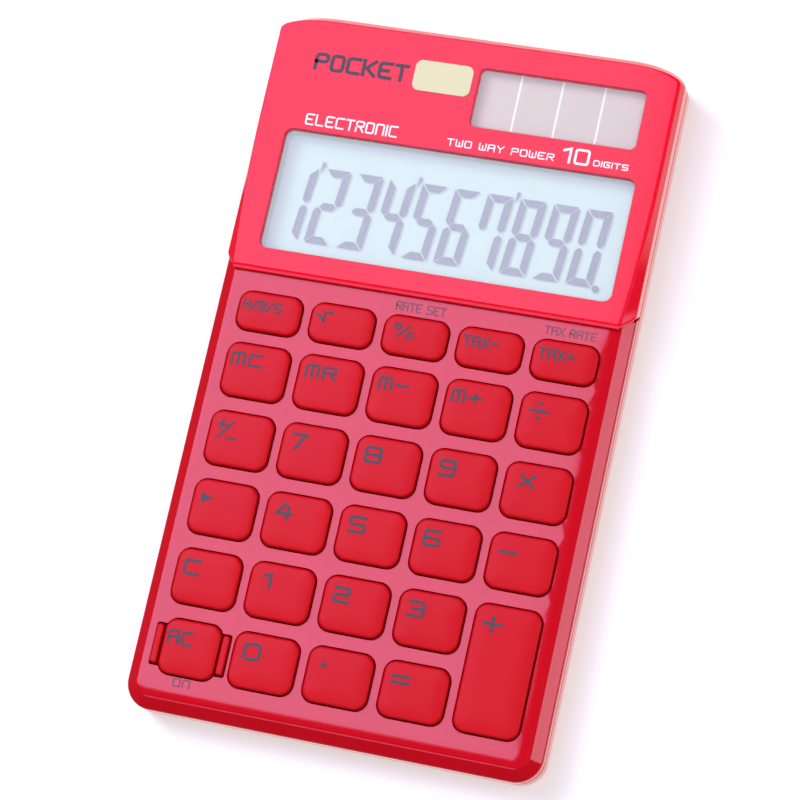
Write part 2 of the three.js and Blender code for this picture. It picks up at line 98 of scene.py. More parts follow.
@dataclass(frozen=True)
class NodeBox:
    """Bounds of one CAD node in millimetres."""

    low: Vector
    high: Vector

    @classmethod
    def of(cls, node: str) -> NodeBox:
        """Reads a node's bounds from the frame."""
        low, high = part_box(node)
        return cls(low / MM, high / MM)

    @property
    def centre(self) -> Point:
        """Gives the middle of the bounds, seen from above."""
        return (self.low.x + self.high.x) / 2, (self.low.y + self.high.y) / 2

    def size(self, edge: float = 0.0) -> Point:
        """Gives width and length, less an edge on every side."""
        return self.high.x - self.low.x - 2 * edge, self.high.y - self.low.y - 2 * edge


def add_node(
    tree: Tree,
    kind: str,
    settings: dict[str, Any] | None = None,
    inputs: dict[str | int, Any] | None = None,
) -> bpy.types.Node:
    """Adds one shader node with its settings and links.

    Args:
        tree: Node tree to add to.
        kind: Blender's node type name.
        settings: Attributes of the node itself.
        inputs: Input name or number to a plain value, or to the output socket that feeds it.

    Returns:
        The new node.
    """
    node = tree.nodes.new(kind)
    for name, value in (settings or {}).items():
        setattr(node, name, value)
    for name, value in (inputs or {}).items():
        if isinstance(value, Socket):
            tree.links.new(value, node.inputs[name])
        else:
            node.inputs[name].default_value = value
    return node


def rounded_path(points: Sequence[Point], radii: Sequence[float], steps: int) -> list[Point]:
    """Rounds the inner corners of a bent line with arcs.

    Args:
        points: Corners of the line.
        radii: One arc radius for each inner corner.
        steps: Segments in each arc.

    Returns:
        The line's points, always the same number for the same corners and steps.
    """
    path = [Vector(points[0])]
    for before, corner, after, radius in zip(points, points[1:], points[2:], radii):
        middle = Vector(corner)
        back = (Vector(before) - middle).normalized()
        ahead = (Vector(after) - middle).normalized()
        half = back.angle(ahead) / 2
        reach = radius / math.tan(half)
        centre = middle + (back + ahead).normalized() * (radius / math.sin(half))
        start = middle + back * reach - centre
        end = middle + ahead * reach - centre
        turn = start.angle(end)
        for i in range(steps + 1):
            share = i / steps
            arm = (start * math.sin((1 - share) * turn) + end * math.sin(share * turn)) / math.sin(turn)
            path.append(centre + arm)
    path.append(Vector(points[-1]))
    return [(p.x, p.y) for p in path]


def rounded_rectangle(
    centre: Point, size: Point, corner: float, steps: int, inset: float = 0.0
) -> list[Point]:
    """Gives the closed outline of a rectangle with round corners, anticlockwise.

    Args:
        centre: Its middle.
        size: Its width and length before it is drawn in.
        corner: Radius of its corners.
        steps: Segments in each corner.
        inset: How far it is drawn in.

    Returns:
        The outline's points.
    """
    outline: list[Point] = []
    across, along = size[0] / 2 - inset - corner, size[1] / 2 - inset - corner
    for turn, (side, end) in enumerate(((1, -1), (1, 1), (-1, 1), (-1, -1))):
        for i in range(steps + 1):
            angle = QUARTER_TURN * (turn - 1 + i / steps)
            x = centre[0] + side * across + corner * math.cos(angle)
            y = centre[1] + end * along + corner * math.sin(angle)
            outline.append((x, y))
    return outline


def quarter_round(radius: float, steps: int) -> list[Point]:
    """Gives a rolled edge, from the side up to the flat.

    Args:
        radius: The edge's radius.
        steps: Segments in its arc.

    Returns:
        Pairs of inset from the side and depth below the flat.
    """
    turns = [QUARTER_TURN * i / steps for i in range(steps + 1)]
    return [(radius * (1 - math.cos(turn)), radius * (1 - math.sin(turn))) for turn in turns]


def is_inside(outline: Sequence[Point], x: float, y: float) -> bool:
    """Says whether a point lies inside a closed outline.

    Args:
        outline: The outline's points.
        x: The point's place across.
        y: The point's place along.

    Returns:
        Whether it lies inside.
    """
    inside = False
    previous = outline[-1]
    for current in outline:
        if (current[1] > y) != (previous[1] > y):
            share = (y - current[1]) / (previous[1] - current[1])
            if x < current[0] + share * (previous[0] - current[0]):
                inside = not inside
        previous = current
    return inside


class MeshDraft:
    """Points and faces of one piece, collected in millimetres."""

    def __init__(self) -> None:
        """Starts an empty draft."""
        self.points: list[Point3] = []
        self.faces: list[tuple[int, ...]] = []
        self.creases: list[tuple[int, int]] = []

    def add_row(self, row: Iterable[Point3]) -> list[int]:
        """Adds a row of points and gives their numbers.

        Args:
            row: The points.

        Returns:
            Their numbers, in the same order.
        """
        start = len(self.points)
        self.points.extend(row)
        return list(range(start, len(self.points)))

    def add_outline(self, outline: Iterable[Point], height: float) -> list[int]:
        """Adds a flat outline at one height and gives its points' numbers."""
        return self.add_row((x, y, height) for x, y in outline)

    def bridge(self, first: Sequence[int], second: Sequence[int], closed: bool = True) -> None:
        """Joins two rows of equal length with quads.

        Args:
            first: Point numbers of one row.
            second: Point numbers of the other row.
            closed: Whether the rows run all the way round.
        """
        count = len(first)
        for i in range(count if closed else count - 1):
            j = (i + 1) % count
            self.faces.append((first[i], first[j], second[j], second[i]))

    def cap(self, row: Sequence[int]) -> None:
        """Closes a row with one flat face."""
        self.faces.append(tuple(row))

    def crease(self, row: Sequence[int]) -> None:
        """Keeps a closed row crisp, so that a flat beside it shades as a flat right up to it."""
        self.creases.extend(zip(row, [*row[1:], row[0]]))

    def loft(self, rows: Sequence[Sequence[int]], closed: bool = True) -> None:
        """Joins each row to the next."""
        for first, second in zip(rows, rows[1:]):
            self.bridge(first, second, closed)

    def fill(self, outer: Sequence[int], holes: Sequence[Sequence[int]], loose: Sequence[int] = ()) -> None:
        """Triangulates the region inside one row of points and outside others.

        Args:
            outer: Point numbers of the region's edge.
            holes: Point numbers of each hole's edge.
            loose: Numbers of single points inside the region that the triangles also use.
        """
        loops = [list(outer), *[list(hole) for hole in holes]]
        numbers = [i for loop in loops for i in loop] + list(loose)
        flat = [Vector(self.points[i][:2]) for i in numbers]
        edges: list[tuple[int, int]] = []
        start = 0
        for loop in loops:
            count = len(loop)
            edges.extend((start + i, start + (i + 1) % count) for i in range(count))
            start += count
        result = delaunay_2d_cdt(flat, edges, [], 0, 1e-7)
        origin = [sources[0] for sources in result[3]]
        outlines = [[self.points[i][:2] for i in loop] for loop in loops]
        boxes = [
            (min(p[0] for p in o), min(p[1] for p in o), max(p[0] for p in o), max(p[1] for p in o))
            for o in outlines
        ]
        for face in result[2]:
            corners = [result[0][i] for i in face]
            x = sum(c.x for c in corners) / 3
            y = sum(c.y for c in corners) / 3
            hit = [
                box[0] < x < box[2] and box[1] < y < box[3] and is_inside(outline, x, y)
                for outline, box in zip(outlines, boxes)
            ]
            if hit[0] and not any(hit[1:]):
                self.faces.append(tuple(numbers[origin[i]] for i in face))

    def solid(self, rows: Sequence[Sequence[int]]) -> None:
        """Joins closed rows one to the next and closes both ends."""
        self.loft(rows)
        self.faces += [tuple(rows[0][::-1]), tuple(rows[-1])]

    def prism(self, outline: Sequence[Point], low: float, high: float) -> None:
        """Adds a flat-topped block over a closed outline."""
        self.solid([self.add_outline(outline, low), self.add_outline(outline, high)])

    def patch(self, outline: Sequence[Point], height_at: HeightAt, sunk: float) -> None:
        """Adds a printed patch that lies on a surface and reaches a little into it."""
        lifts = (-sunk, PRINT_THICK)
        self.solid([self.add_row((x, y, height_at(x, y) + lift) for x, y in outline) for lift in lifts])

    def build(
        self, name: str, material: bpy.types.Material, body: str = CASE, sharp: float = 32.0
    ) -> bpy.types.Object:
        """Turns the draft into one object that rides on a body.

        Args:
            name: The piece's name.
            material: Its finish.
            body: The body it moves with.
            sharp: Edges that turn by more than this many degrees stay crisp.

        Returns:
            The new object.
        """
        mesh = bpy.data.meshes.new(name)
        mesh.from_pydata([tuple(c * MM for c in p) for p in self.points], [], self.faces)
        work = bmesh.new()
        work.from_mesh(mesh)
        work.verts.ensure_lookup_table()
        crisp = work.edges.layers.int.new("crisp")
        for first, second in self.creases:
            edge = work.edges.get((work.verts[first], work.verts[second]))
            if edge is not None:
                edge[crisp] = 1
        bmesh.ops.remove_doubles(work, verts=work.verts[:], dist=1e-7)
        bmesh.ops.dissolve_degenerate(work, edges=work.edges[:], dist=1e-7)
        bmesh.ops.recalc_face_normals(work, faces=work.faces[:])
        for face in work.faces:
            face.smooth = True
        for edge in work.edges:
            edge.smooth = edge.calc_face_angle(0.0) < math.radians(sharp) and not edge[crisp]
        work.edges.layers.int.remove(crisp)
        work.to_mesh(mesh)
        work.free()
        mesh.materials.append(material)
        piece = bpy.data.objects.new(name, mesh)
        bpy.context.scene.collection.objects.link(piece)
        # Broad flats keep their own normal, so that only the rolled edges bend a reflection
        shading = piece.modifiers.new("even_flats", "WEIGHTED_NORMAL")
        shading.weight = 100
        shading.keep_sharp = True
        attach(piece, body)
        LOG.info("built %s: %d faces", name, len(mesh.polygons))
        return piece


# ---- Finishes ----------------------------------------


class Finish:
    """Base of every finish: a named material that its subclass shades."""

    name: str

    def shade(self, tree: Tree, place: Socket) -> Socket:
        """Adds the finish's own nodes and gives the finished shader."""
        raise NotImplementedError

    def material(self) -> bpy.types.Material:
        """Builds the material.

        Returns:
            The new material.
        """
        made = bpy.data.materials.new(self.name)
        made.use_nodes = True
        tree = made.node_tree
        tree.nodes.clear()
        place = add_node(tree, "ShaderNodeTexCoord").outputs["Object"]
        add_node(tree, "ShaderNodeOutputMaterial", inputs={"Surface": self.shade(tree, place)})
        return made


def mottled(tree: Tree, place: Socket, size_mm: float, first: str, second: str) -> Socket:
    """Clouds one colour into another.

    Args:
        tree: The material's node tree.
        place: The piece's own coordinates.
        size_mm: Size of the clouds.
        first: One colour.
        second: The other colour.

    Returns:
        The clouded colour.
    """
    clouds = {"Vector": place, "Scale": 1 / (size_mm * MM), "Detail": 2.0}
    share = add_node(tree, "ShaderNodeTexNoise", inputs=clouds).outputs["Fac"]
    blend = {"Factor": share, "A": linear(first), "B": linear(second)}
    return add_node(tree, "ShaderNodeMix", {"data_type": "RGBA"}, blend).outputs["Result"]


def uneven(tree: Tree, pattern: Socket, low: float, high: float) -> Socket:
    """Gives a gloss that varies with a pattern, between two roughnesses."""
    span = {"Value": pattern, "To Min": low, "To Max": high}
    return add_node(tree, "ShaderNodeMapRange", inputs=span).outputs["Result"]


def one_sided(tree: Tree, front: Socket, back: Socket) -> Socket:
    """Gives a shader that differs on the far side of its surface."""
    behind = add_node(tree, "ShaderNodeNewGeometry").outputs["Backfacing"]
    return add_node(tree, "ShaderNodeMixShader", inputs={0: behind, 1: front, 2: back}).outputs["Shader"]


@dataclass(frozen=True)
class Plastic(Finish):
    """Injection-moulded plastic: even colour with faint flow variation under a moulded skin.

    Attributes:
        name: What the material is and how its surface was made.
        colour: Main colour.
        deep: Colour of the slightly darker flow areas.
        roughness: Gloss of the skin.
        grain_mm: Size of the skin's relief.
        relief_mm: Height of the skin's relief.
        ior: Index of refraction.
        specular: Strength of the skin's reflection; 0.5 is what the index of refraction gives.
        glow: Painted light: an emission that brightens the piece in its shade as much as where it is lit,
            though it is no lamp.
        painted_glow_tint: Colour of that painted light; empty for the main colour.
    """

    name: str
    colour: str
    deep: str
    roughness: float
    grain_mm: float = 0.6
    relief_mm: float = 0.002
    ior: float = 1.54
    specular: float = 0.5
    glow: float = 0.0
    painted_glow_tint: str = ""

    def shade(self, tree: Tree, place: Socket) -> Socket:
        """Mixes flow marks into the colour, raises a fine skin and adds any painted glow.

        Args:
            tree: The material's node tree.
            place: The piece's own coordinates in metres.

        Returns:
            The finished shader.
        """
        # Flow marks are centimetres wide, as melt fronts are
        colour = mottled(tree, place, 14.0, self.colour, self.deep)
        grain = {"Vector": place, "Scale": 1 / (self.grain_mm * MM), "Detail": 3.0}
        skin = add_node(tree, "ShaderNodeTexNoise", inputs=grain).outputs["Fac"]
        relief = {"Height": skin, "Strength": 0.6, "Distance": self.relief_mm * MM}
        look = {
            "Base Color": colour,
            "Roughness": uneven(tree, skin, self.roughness * 0.85, self.roughness * 1.15),
            "IOR": self.ior,
            "Specular IOR Level": self.specular,
            # Emission is painted light: the glow lifts the piece's shade as well as its lit side
            "Emission Color": linear(self.painted_glow_tint or self.colour),
            "Emission Strength": self.glow,
            "Normal": add_node(tree, "ShaderNodeBump", inputs=relief).outputs["Normal"],
        }
        return add_node(tree, "ShaderNodeBsdfPrincipled", inputs=look).outputs["BSDF"]


@dataclass(frozen=True)
class Metal(Finish):
    """Plated sheet or turned metal with fine directional marks.

    Attributes:
        name: What the metal is and how its surface was made.
        colour: Colour of the plating.
        roughness: Gloss of the plating.
        mark_mm: Spacing of the drawing or turning marks.
        mark_length_mm: Length of those marks.
    """

    name: str
    colour: str
    roughness: float
    mark_mm: float = 0.12
    mark_length_mm: float = 4.0

    def shade(self, tree: Tree, place: Socket) -> Socket:
        """Draws fine marks out along the part.

        Args:
            tree: The material's node tree.
            place: The piece's own coordinates in metres.

        Returns:
            The finished shader.
        """
        across = 1 / (self.mark_mm * MM)
        stretch = {"Vector": place, "Scale": (across, 1 / (self.mark_length_mm * MM), across)}
        drawn = add_node(tree, "ShaderNodeMapping", inputs=stretch).outputs["Vector"]
        marks = add_node(tree, "ShaderNodeTexNoise", inputs={"Vector": drawn, "Scale": 1.0}).outputs["Fac"]
        look = {
            "Base Color": linear(self.colour),
            "Metallic": 1.0,
            "Roughness": uneven(tree, marks, self.roughness * 0.7, self.roughness * 1.3),
        }
        return add_node(tree, "ShaderNodeBsdfPrincipled", inputs=look).outputs["BSDF"]


@dataclass(frozen=True)
class Ink(Finish):
    """Pad-printed ink: a flat film with a faint screen of uneven cover.

    Attributes:
        name: What the ink is.
        colour: Colour where it covers well.
        thin: Colour where it lies thin.
        roughness: Gloss of the dried film.
        ior: Index of refraction.
    """

    name: str
    colour: str
    thin: str
    roughness: float = 0.55
    ior: float = 1.48

    def shade(self, tree: Tree, place: Socket) -> Socket:
        """Varies the colour as the film's cover varies.

        Args:
            tree: The material's node tree.
            place: The piece's own coordinates in metres.

        Returns:
            The finished shader.
        """
        # A print pad leaves cover that varies over about a third of a millimetre
        look = {
            "Base Color": mottled(tree, place, 0.35, self.colour, self.thin),
            "Roughness": self.roughness,
            "IOR": self.ior,
        }
        return add_node(tree, "ShaderNodeBsdfPrincipled", inputs=look).outputs["BSDF"]


@dataclass(frozen=True)
class ClearSheet(Finish):
    """Clear polished sheet: see-through, with a mirror's reflection that grows at a slant.

    Attributes:
        name: What the sheet is.
        tint: Colour that it gives what lies behind.
        ior: Index of refraction, for the reflection.
        wipe_mm: Size of the wipe marks on the polish.
        haze: Roughness between the marks and on them.
    """

    name: str
    tint: str
    ior: float = 1.49
    wipe_mm: float = 5.0
    haze: tuple[float, float] = (0.02, 0.05)

    def shade(self, tree: Tree, place: Socket) -> Socket:
        """Lays a slanting mirror over a clear sheet.

        Args:
            tree: The material's node tree.
            place: The piece's own coordinates in metres.

        Returns:
            The finished shader.
        """
        marks = {"Vector": place, "Scale": 1 / (self.wipe_mm * MM), "Detail": 3.0}
        haze = add_node(tree, "ShaderNodeTexNoise", inputs=marks).outputs["Fac"]
        polish = {"Roughness": uneven(tree, haze, *self.haze)}
        mirror = add_node(tree, "ShaderNodeBsdfGlossy", inputs=polish).outputs["BSDF"]
        tint = {"Color": linear(self.tint)}
        clear = add_node(tree, "ShaderNodeBsdfTransparent", inputs=tint).outputs["BSDF"]
        slant = add_node(tree, "ShaderNodeFresnel", inputs={"IOR": self.ior}).outputs["Fac"]
        near = add_node(tree, "ShaderNodeMixShader", inputs={0: slant, 1: clear, 2: mirror}).outputs["Shader"]
        # The sheet doesn't bend light, so a mirror on its far side would shut in what comes at a slant
        return one_sided(tree, near, clear)


@dataclass(frozen=True)
class Sweep(Finish):
    """White studio sweep of matt fibre that glows a little, solid from above and clear from below."""

    glow: float
    name: str = "studio_sweep_white"

    def shade(self, tree: Tree, place: Socket) -> Socket:
        """Gives the fibre its uneven gloss and clears its underside.

        Args:
            tree: The material's node tree.
            place: The piece's own coordinates in metres.

        Returns:
            The finished shader.
        """
        weave = {"Vector": place, "Scale": 1 / (3 * MM)}
        fibre = add_node(tree, "ShaderNodeTexNoise", inputs=weave).outputs["Fac"]
        look = {
            "Base Color": linear("#CCCCCC"),
            "Roughness": uneven(tree, fibre, 0.5, 0.6),
            "Emission Color": linear("#FFFFFF"),
            "Emission Strength": self.glow,
        }
        matt = add_node(tree, "ShaderNodeBsdfPrincipled", inputs=look).outputs["BSDF"]
        clear = add_node(tree, "ShaderNodeBsdfTransparent").outputs["BSDF"]
        return one_sided(tree, matt, clear)


class Finishes:
    """Every finish of the calculator, each made once when it is first asked for."""

    SHELF: ClassVar[dict[str, Finish]] = {
        # Bright gloss ABS of the display shell: reflects the lamps as soft white areas
        "display_shell": Plastic(
            "moulded_abs_gloss_red", "#EA0A2A", "#E20826", 0.09, 2.5, 0.0015, specular=0.3
        ),
        # Deeper red ABS of the key shell, polished in the mould, so it mirrors more than it scatters
        "key_shell": Plastic("moulded_abs_gloss_deep_red", "#C8041A", "#BE0218", 0.09, 2.5, 0.0015),
        # Rear shell: the same ABS from a finely eroded mould, which spreads its highlights
        "rear_shell": Plastic("moulded_abs_eroded_red", "#D8101F", "#CC0C1B", 0.2, 0.18, 0.004),
        # Key caps: satin ABS that shows one broad soft highlight and bright rolled edges
        "key_cap": Plastic("moulded_abs_satin_red", "#CA0916", "#C20714", 0.34, 0.16, 0.003, specular=0.17),
        # Printed ink sits as a thin matt film: dark grey on the caps, paler where it lies on the shell
        "legend": Ink("pad_print_grey", "#423C46", "#4C4650"),
        "print_shell": Ink("pad_print_pale_grey", "#7A4656", "#845060"),
        "print_white": Ink("pad_print_white", "#FFFFFF", "#F2F2F2"),
        # Lit crystal blocks its share of the light evenly: a flat lavender grey
        "segment": Ink("liquid_crystal_grey", "#949C98", "#98A09C"),
        "pane": ClearSheet("cast_acrylic_polished", "#FFFFFF"),
        "lcd_glass": ClearSheet("float_glass_with_polariser", "#F6FAFC", 1.5),
        # Film with a pearly diffusing back: pale, slightly blue; its glow is painted light, lavender, that
        # lifts the shade at the window's edges
        "reflector": Plastic(
            "polyester_film_pearl", "#A6C29E", "#A2BE9A", 0.45, 1.5, 0.001, specular=0.2, glow=0.55,
            painted_glow_tint="#D3CCDA"
        ),
        # Light cell seen through its milky filter film; its glow is painted light, lavender, that lifts the
        # shade at the window's edges
        "light_cell": Plastic(
            "amorphous_silicon_filtered", "#A6A68A", "#A2A286", 0.35, 1.5, 0.001, specular=0.2, glow=0.34,
            painted_glow_tint="#D4BCD9"
        ),
        # Gap cut through the cell's film: the paler substrate shows, brightened by a glow that is painted
        # light
        "cell_line": Plastic("laser_scribed_substrate", "#C8C6C0", "#C4C2BC", 0.5, 0.4, 0.001, glow=0.5),
        "label": Plastic("polyester_foil_label_cream", "#DAD8AE", "#D2CFA4", 0.4, 0.6, 0.004, specular=0.25),
        "board": Plastic("phenolic_paper_laminate", "#A87C42", "#8E6634", 0.6, 0.3, 0.004),
        "silicone": Plastic("moulded_silicone_grey", "#CFCBC2", "#C4C0B6", 0.7, 0.2, 0.004, 1.42),
        "epoxy": Plastic("cured_epoxy_black", "#121214", "#1A1A1E", 0.25, 0.8, 0.01, 1.55),
        "ceramic": Plastic("fired_ceramic_brown", "#8A6A48", "#7C5E3E", 0.6, 0.2, 0.004, 1.6),
        "wire_red": Plastic("drawn_pvc_red", "#B01A1A", "#A01414", 0.45, 0.4, 0.003),
        "wire_black": Plastic("drawn_pvc_black", "#1C1C1E", "#242426", 0.45, 0.4, 0.003),
        "nickel": Metal("nickel_plated_steel_rolled", "#C9C6BE", 0.22),
        "zinc": Metal("zinc_plated_steel_pressed", "#B4B8BC", 0.34),
    }

    @staticmethod
    @lru_cache(maxsize=None)
    def get(key: str) -> bpy.types.Material:
        """Gives the material of one finish."""
        return Finishes.SHELF[key].material()


# ---- Camera and studio ----------------------------------------


@dataclass
class StudioCamera:
    """Long lens above the key end, turned a little to the right of the calculator.

    Attributes:
        place_mm: Where the lens is, over the middle of the calculator's back.
        right: The picture's right, in the calculator's axes.
        up: The picture's up, in the calculator's axes.
        lens_mm: Focal length on a 36 mm sensor.
    """

    place_mm: Point3 = (131.0, -108.25, 504.0)
    right: Point3 = (0.9545, 0.2165, -0.2065)
    up: Point3 = (-0.1635, 0.9557, 0.2461)
    lens_mm: float = 145.9

    def build(self) -> None:
        """Makes the camera and sets it as the scene's."""
        data = bpy.data.cameras.new("studio_camera")
        data.lens = self.lens_mm
        data.sensor_width = 36.0
        data.clip_start = 0.01
        camera = bpy.data.objects.new("studio_camera", data)
        bpy.context.scene.collection.objects.link(camera)
        right = Vector(self.right).normalized()
        back = right.cross(Vector(self.up)).normalized()
        up = back.cross(right)
        turn = Matrix((right, up, back)).transposed().to_4x4()
        camera.matrix_world = Matrix.Translation(Vector(self.place_mm) * MM) @ turn
        bpy.context.scene.camera = camera


@dataclass(frozen=True)
class Softbox:
    """One rectangular studio lamp.

    Attributes:
        name: Its place in the studio.
        place: Its middle, in metres from the calculator.
        size: Its width and length in metres.
        glow: How bright its face is.
        level: Whether it faces straight down, and not the calculator.
        tint: Colour of its light.
        mirrored: Whether gloss shows its reflection; a lamp behind a wide silk leaves none.
        lights: Whether it lights what is matt; a white card shows in gloss and lights next to nothing.
    """

    name: str
    place: Point3
    size: Point
    glow: float
    level: bool = False
    tint: str = "#FFFFFF"
    mirrored: bool = True
    lights: bool = True

    def build(self) -> None:
        """Makes the lamp, aimed at the calculator."""
        data = bpy.data.lights.new(self.name, "AREA")
        data.shape = "RECTANGLE"
        data.size, data.size_y = self.size
        data.energy = self.glow * math.pi * self.size[0] * self.size[1]
        data.color = linear(self.tint)[:3]
        lamp = bpy.data.objects.new(self.name, data)
        lamp.visible_glossy = self.mirrored
        lamp.visible_diffuse = self.lights
        lamp.location = self.place
        if not self.level:
            lamp.rotation_euler = (-Vector(self.place)).to_track_quat("-Z", "Y").to_euler()
        bpy.context.scene.collection.objects.link(lamp)


@dataclass
class Studio:
    """Pale sweep, soft lamps and a dim room.

    Attributes:
        floor_half_m: Half the floor's side.
        floor_glow: Light of its own that keeps the sweep white.
        floor_gap_mm: Air between the sweep and the calculator's back.
        room: Light of the dim room.
        pool: Light that gloss finds straight below, where the lamps fall on the sweep.
        flag_edge: Where the black flag on the left ends and the pool starts to show.
        pool_edge: How steeply down the pool starts and is full.
        lamps: The lamps.
    """

    floor_half_m: float = 3.0
    floor_glow: float = 0.4
    floor_gap_mm: float = 0.02
    room: float = 0.08
    pool: float = 1.2
    flag_edge: Point = (-0.55, -0.4)
    pool_edge: Point = (-0.3, -0.5)
    lamps: tuple[Softbox, ...] = (
        Softbox("lamp_overhead_left", (-0.64, 0.44, 1.05), (0.95, 0.94), 4.3, True, "#D8CCFF"),
        Softbox("lamp_fill_right", (0.6, -0.5, 1.3), (1.9, 1.9), 1.5, mirrored=False),
        Softbox("lamp_high_left", (-0.95, 0.55, 1.15), (0.5, 0.7), 11.5, mirrored=False),
        Softbox("lamp_low_right", (1.3, 0.25, 0.35), (0.9, 0.5), 3.6, tint="#F4D8F0"),
        Softbox("card_front", (-0.3, -0.88, 0.78), (0.7, 0.35), 2.6, tint="#E4D8FF", lights=False),
    )

    def build(self) -> None:
        """Makes the floor, the lamps and the room's light."""
        self.floor()
        for lamp in self.lamps:
            lamp.build()
        world = bpy.data.worlds.new("studio_room")
        world.use_nodes = True
        tree = world.node_tree
        tree.nodes.clear()
        way = add_node(tree, "ShaderNodeTexCoord").outputs["Generated"]
        parts = add_node(tree, "ShaderNodeSeparateXYZ", inputs={"Vector": way}).outputs
        light: Any = self.pool
        for axis, (start, end) in (("X", self.flag_edge), ("Z", self.pool_edge)):
            span = {"Value": parts[axis], "From Min": start, "From Max": end, "To Min": self.room}
            span["To Max"] = light
            light = add_node(tree, "ShaderNodeMapRange", inputs=span).outputs["Result"]
        air = {"Color": linear("#FFFFFF"), "Strength": light}
        room = add_node(tree, "ShaderNodeBackground", inputs=air).outputs["Background"]
        add_node(tree, "ShaderNodeOutputWorld", inputs={"Surface": room})
        bpy.context.scene.world = world
        bpy.context.scene.view_settings.view_transform = "Standard"

    def floor(self) -> None:
        """Makes the pale floor that the calculator lies on."""
        half, level = self.floor_half_m, -self.floor_gap_mm * MM
        mesh = bpy.data.meshes.new("floor")
        corners = [(-half, -half, level), (half, -half, level), (half, half, level), (-half, half, level)]
        mesh.from_pydata(corners, [], [(0, 1, 2, 3)])
        mesh.materials.append(Sweep(self.floor_glow).material())
        floor = bpy.data.objects.new("floor", mesh)
        floor.visible_glossy = False
        bpy.context.scene.collection.objects.link(floor)


# ---- Plan outline of the body ----------------------------------------


class End(Enum):
    """Which end of the body an open outline goes round."""

    KEYS = "keys"
    DISPLAY = "display"


@dataclass(frozen=True)
class BodyPlan:
    """Plan outline: straight sides, round corners at the key end, oval corners at the display end."""

    half_width: float
    half_length: float
    corner: float = 4.5
    oval_across: float = 9.5
    oval_along: float = 3.5
    side_steps: int = 26
    corner_steps: int = 12
    end_steps: int = 14

    def half_rail(
        self, end: End, side_inset: Callable[[float], float], end_inset: float, joint_y: float
    ) -> list[Point3]:
        """Gives the right half of an outline, from the middle of the end to the joint.

        Args:
            end: Which end to go round.
            side_inset: How far in the line lies at a place along the side.
            end_inset: How far in it lies at the end.
            joint_y: Where the line stops along the side.

        Returns:
            Points of x, y and a share that is 1 on the end and 0 on the side.
        """
        sign = -1 if end is End.KEYS else 1
        across, along = (self.corner, self.corner) if end is End.KEYS else (self.oval_across, self.oval_along)
        turn_y = self.half_length - along
        inset = side_inset(sign * turn_y)
        line_y = self.half_length - end_inset
        middle_x = self.half_width - across
        rail = [(middle_x * i / self.end_steps, sign * line_y, 1.0) for i in range(self.end_steps)]
        for i in range(self.corner_steps + 1):
            angle = QUARTER_TURN * (1 - i / self.corner_steps)
            x = middle_x + (across - inset) * math.cos(angle)
            y = turn_y + (along - end_inset) * math.sin(angle)
            rail.append((x, sign * y, math.sin(angle) ** 2))
        for i in range(1, self.side_steps + 1):
            y = sign * turn_y + (joint_y - sign * turn_y) * i / self.side_steps
            rail.append((self.half_width - side_inset(y), y, 0.0))
        return rail

    def closed(self, inset: float) -> list[Point]:
        """Gives the whole outline, drawn in by one inset.

        Args:
            inset: How far it is drawn in.

        Returns:
            The outline's points.
        """
        keys, display = (self.half_rail(end, lambda y: inset, inset, 0.0) for end in End)
        right = [(x, y) for x, y, _ in (*keys, *display[-2::-1])]
        return right + [(-x, y) for x, y in right[-2:0:-1]]


# ---- Shells ----------------------------------------


@dataclass(frozen=True)
class Opening:
    """A round-cornered hole through a shell's face."""

    centre: Point
    size: Point
    corner: float
    corner_steps: int = 7

    def outline(self, grow: float) -> list[Point]:
        """Gives the hole's outline, grown outwards."""
        corner = self.corner + grow
        return rounded_rectangle(self.centre, self.size, corner, self.corner_steps, -grow)


@dataclass(frozen=True)
class GuardedOpening(Opening):
    """The all-clear key's hole, with a notch on each side for its guard bars."""

    notch_width: float = 12.8
    notch_length: float = 7.0
    notch_corner: float = 0.35
    notch_steps: int = 3

    def outline(self, grow: float) -> list[Point]:
        """Gives the outline of the hole and its notches together, grown outwards.

        Args:
            grow: How far it is grown.

        Returns:
            The outline's points.
        """
        half_notch_x = self.notch_width / 2 + grow
        half_notch_y = self.notch_length / 2 + grow
        round_off = self.notch_corner + grow
        radius = self.corner + grow
        turn_x = self.size[0] / 2 + grow - radius
        turn_y = self.size[1] / 2 + grow - radius
        meet = math.asin((half_notch_y - turn_y) / radius)
        quarter: list[Point] = []
        for i in range(self.notch_steps + 1):
            angle = QUARTER_TURN * i / self.notch_steps
            x = half_notch_x - round_off + round_off * math.cos(angle)
            quarter.append((x, half_notch_y - round_off + round_off * math.sin(angle)))
        for i in range(self.corner_steps + 1):
            angle = meet + (QUARTER_TURN - meet) * i / self.corner_steps
            quarter.append((turn_x + radius * math.cos(angle), turn_y + radius * math.sin(angle)))
        upper = quarter + [(-x, y) for x, y in quarter[::-1]]
        outline = upper + [(x, -y) for x, y in upper[::-1]]
        return [(self.centre[0] + x, self.centre[1] + y) for x, y in outline]


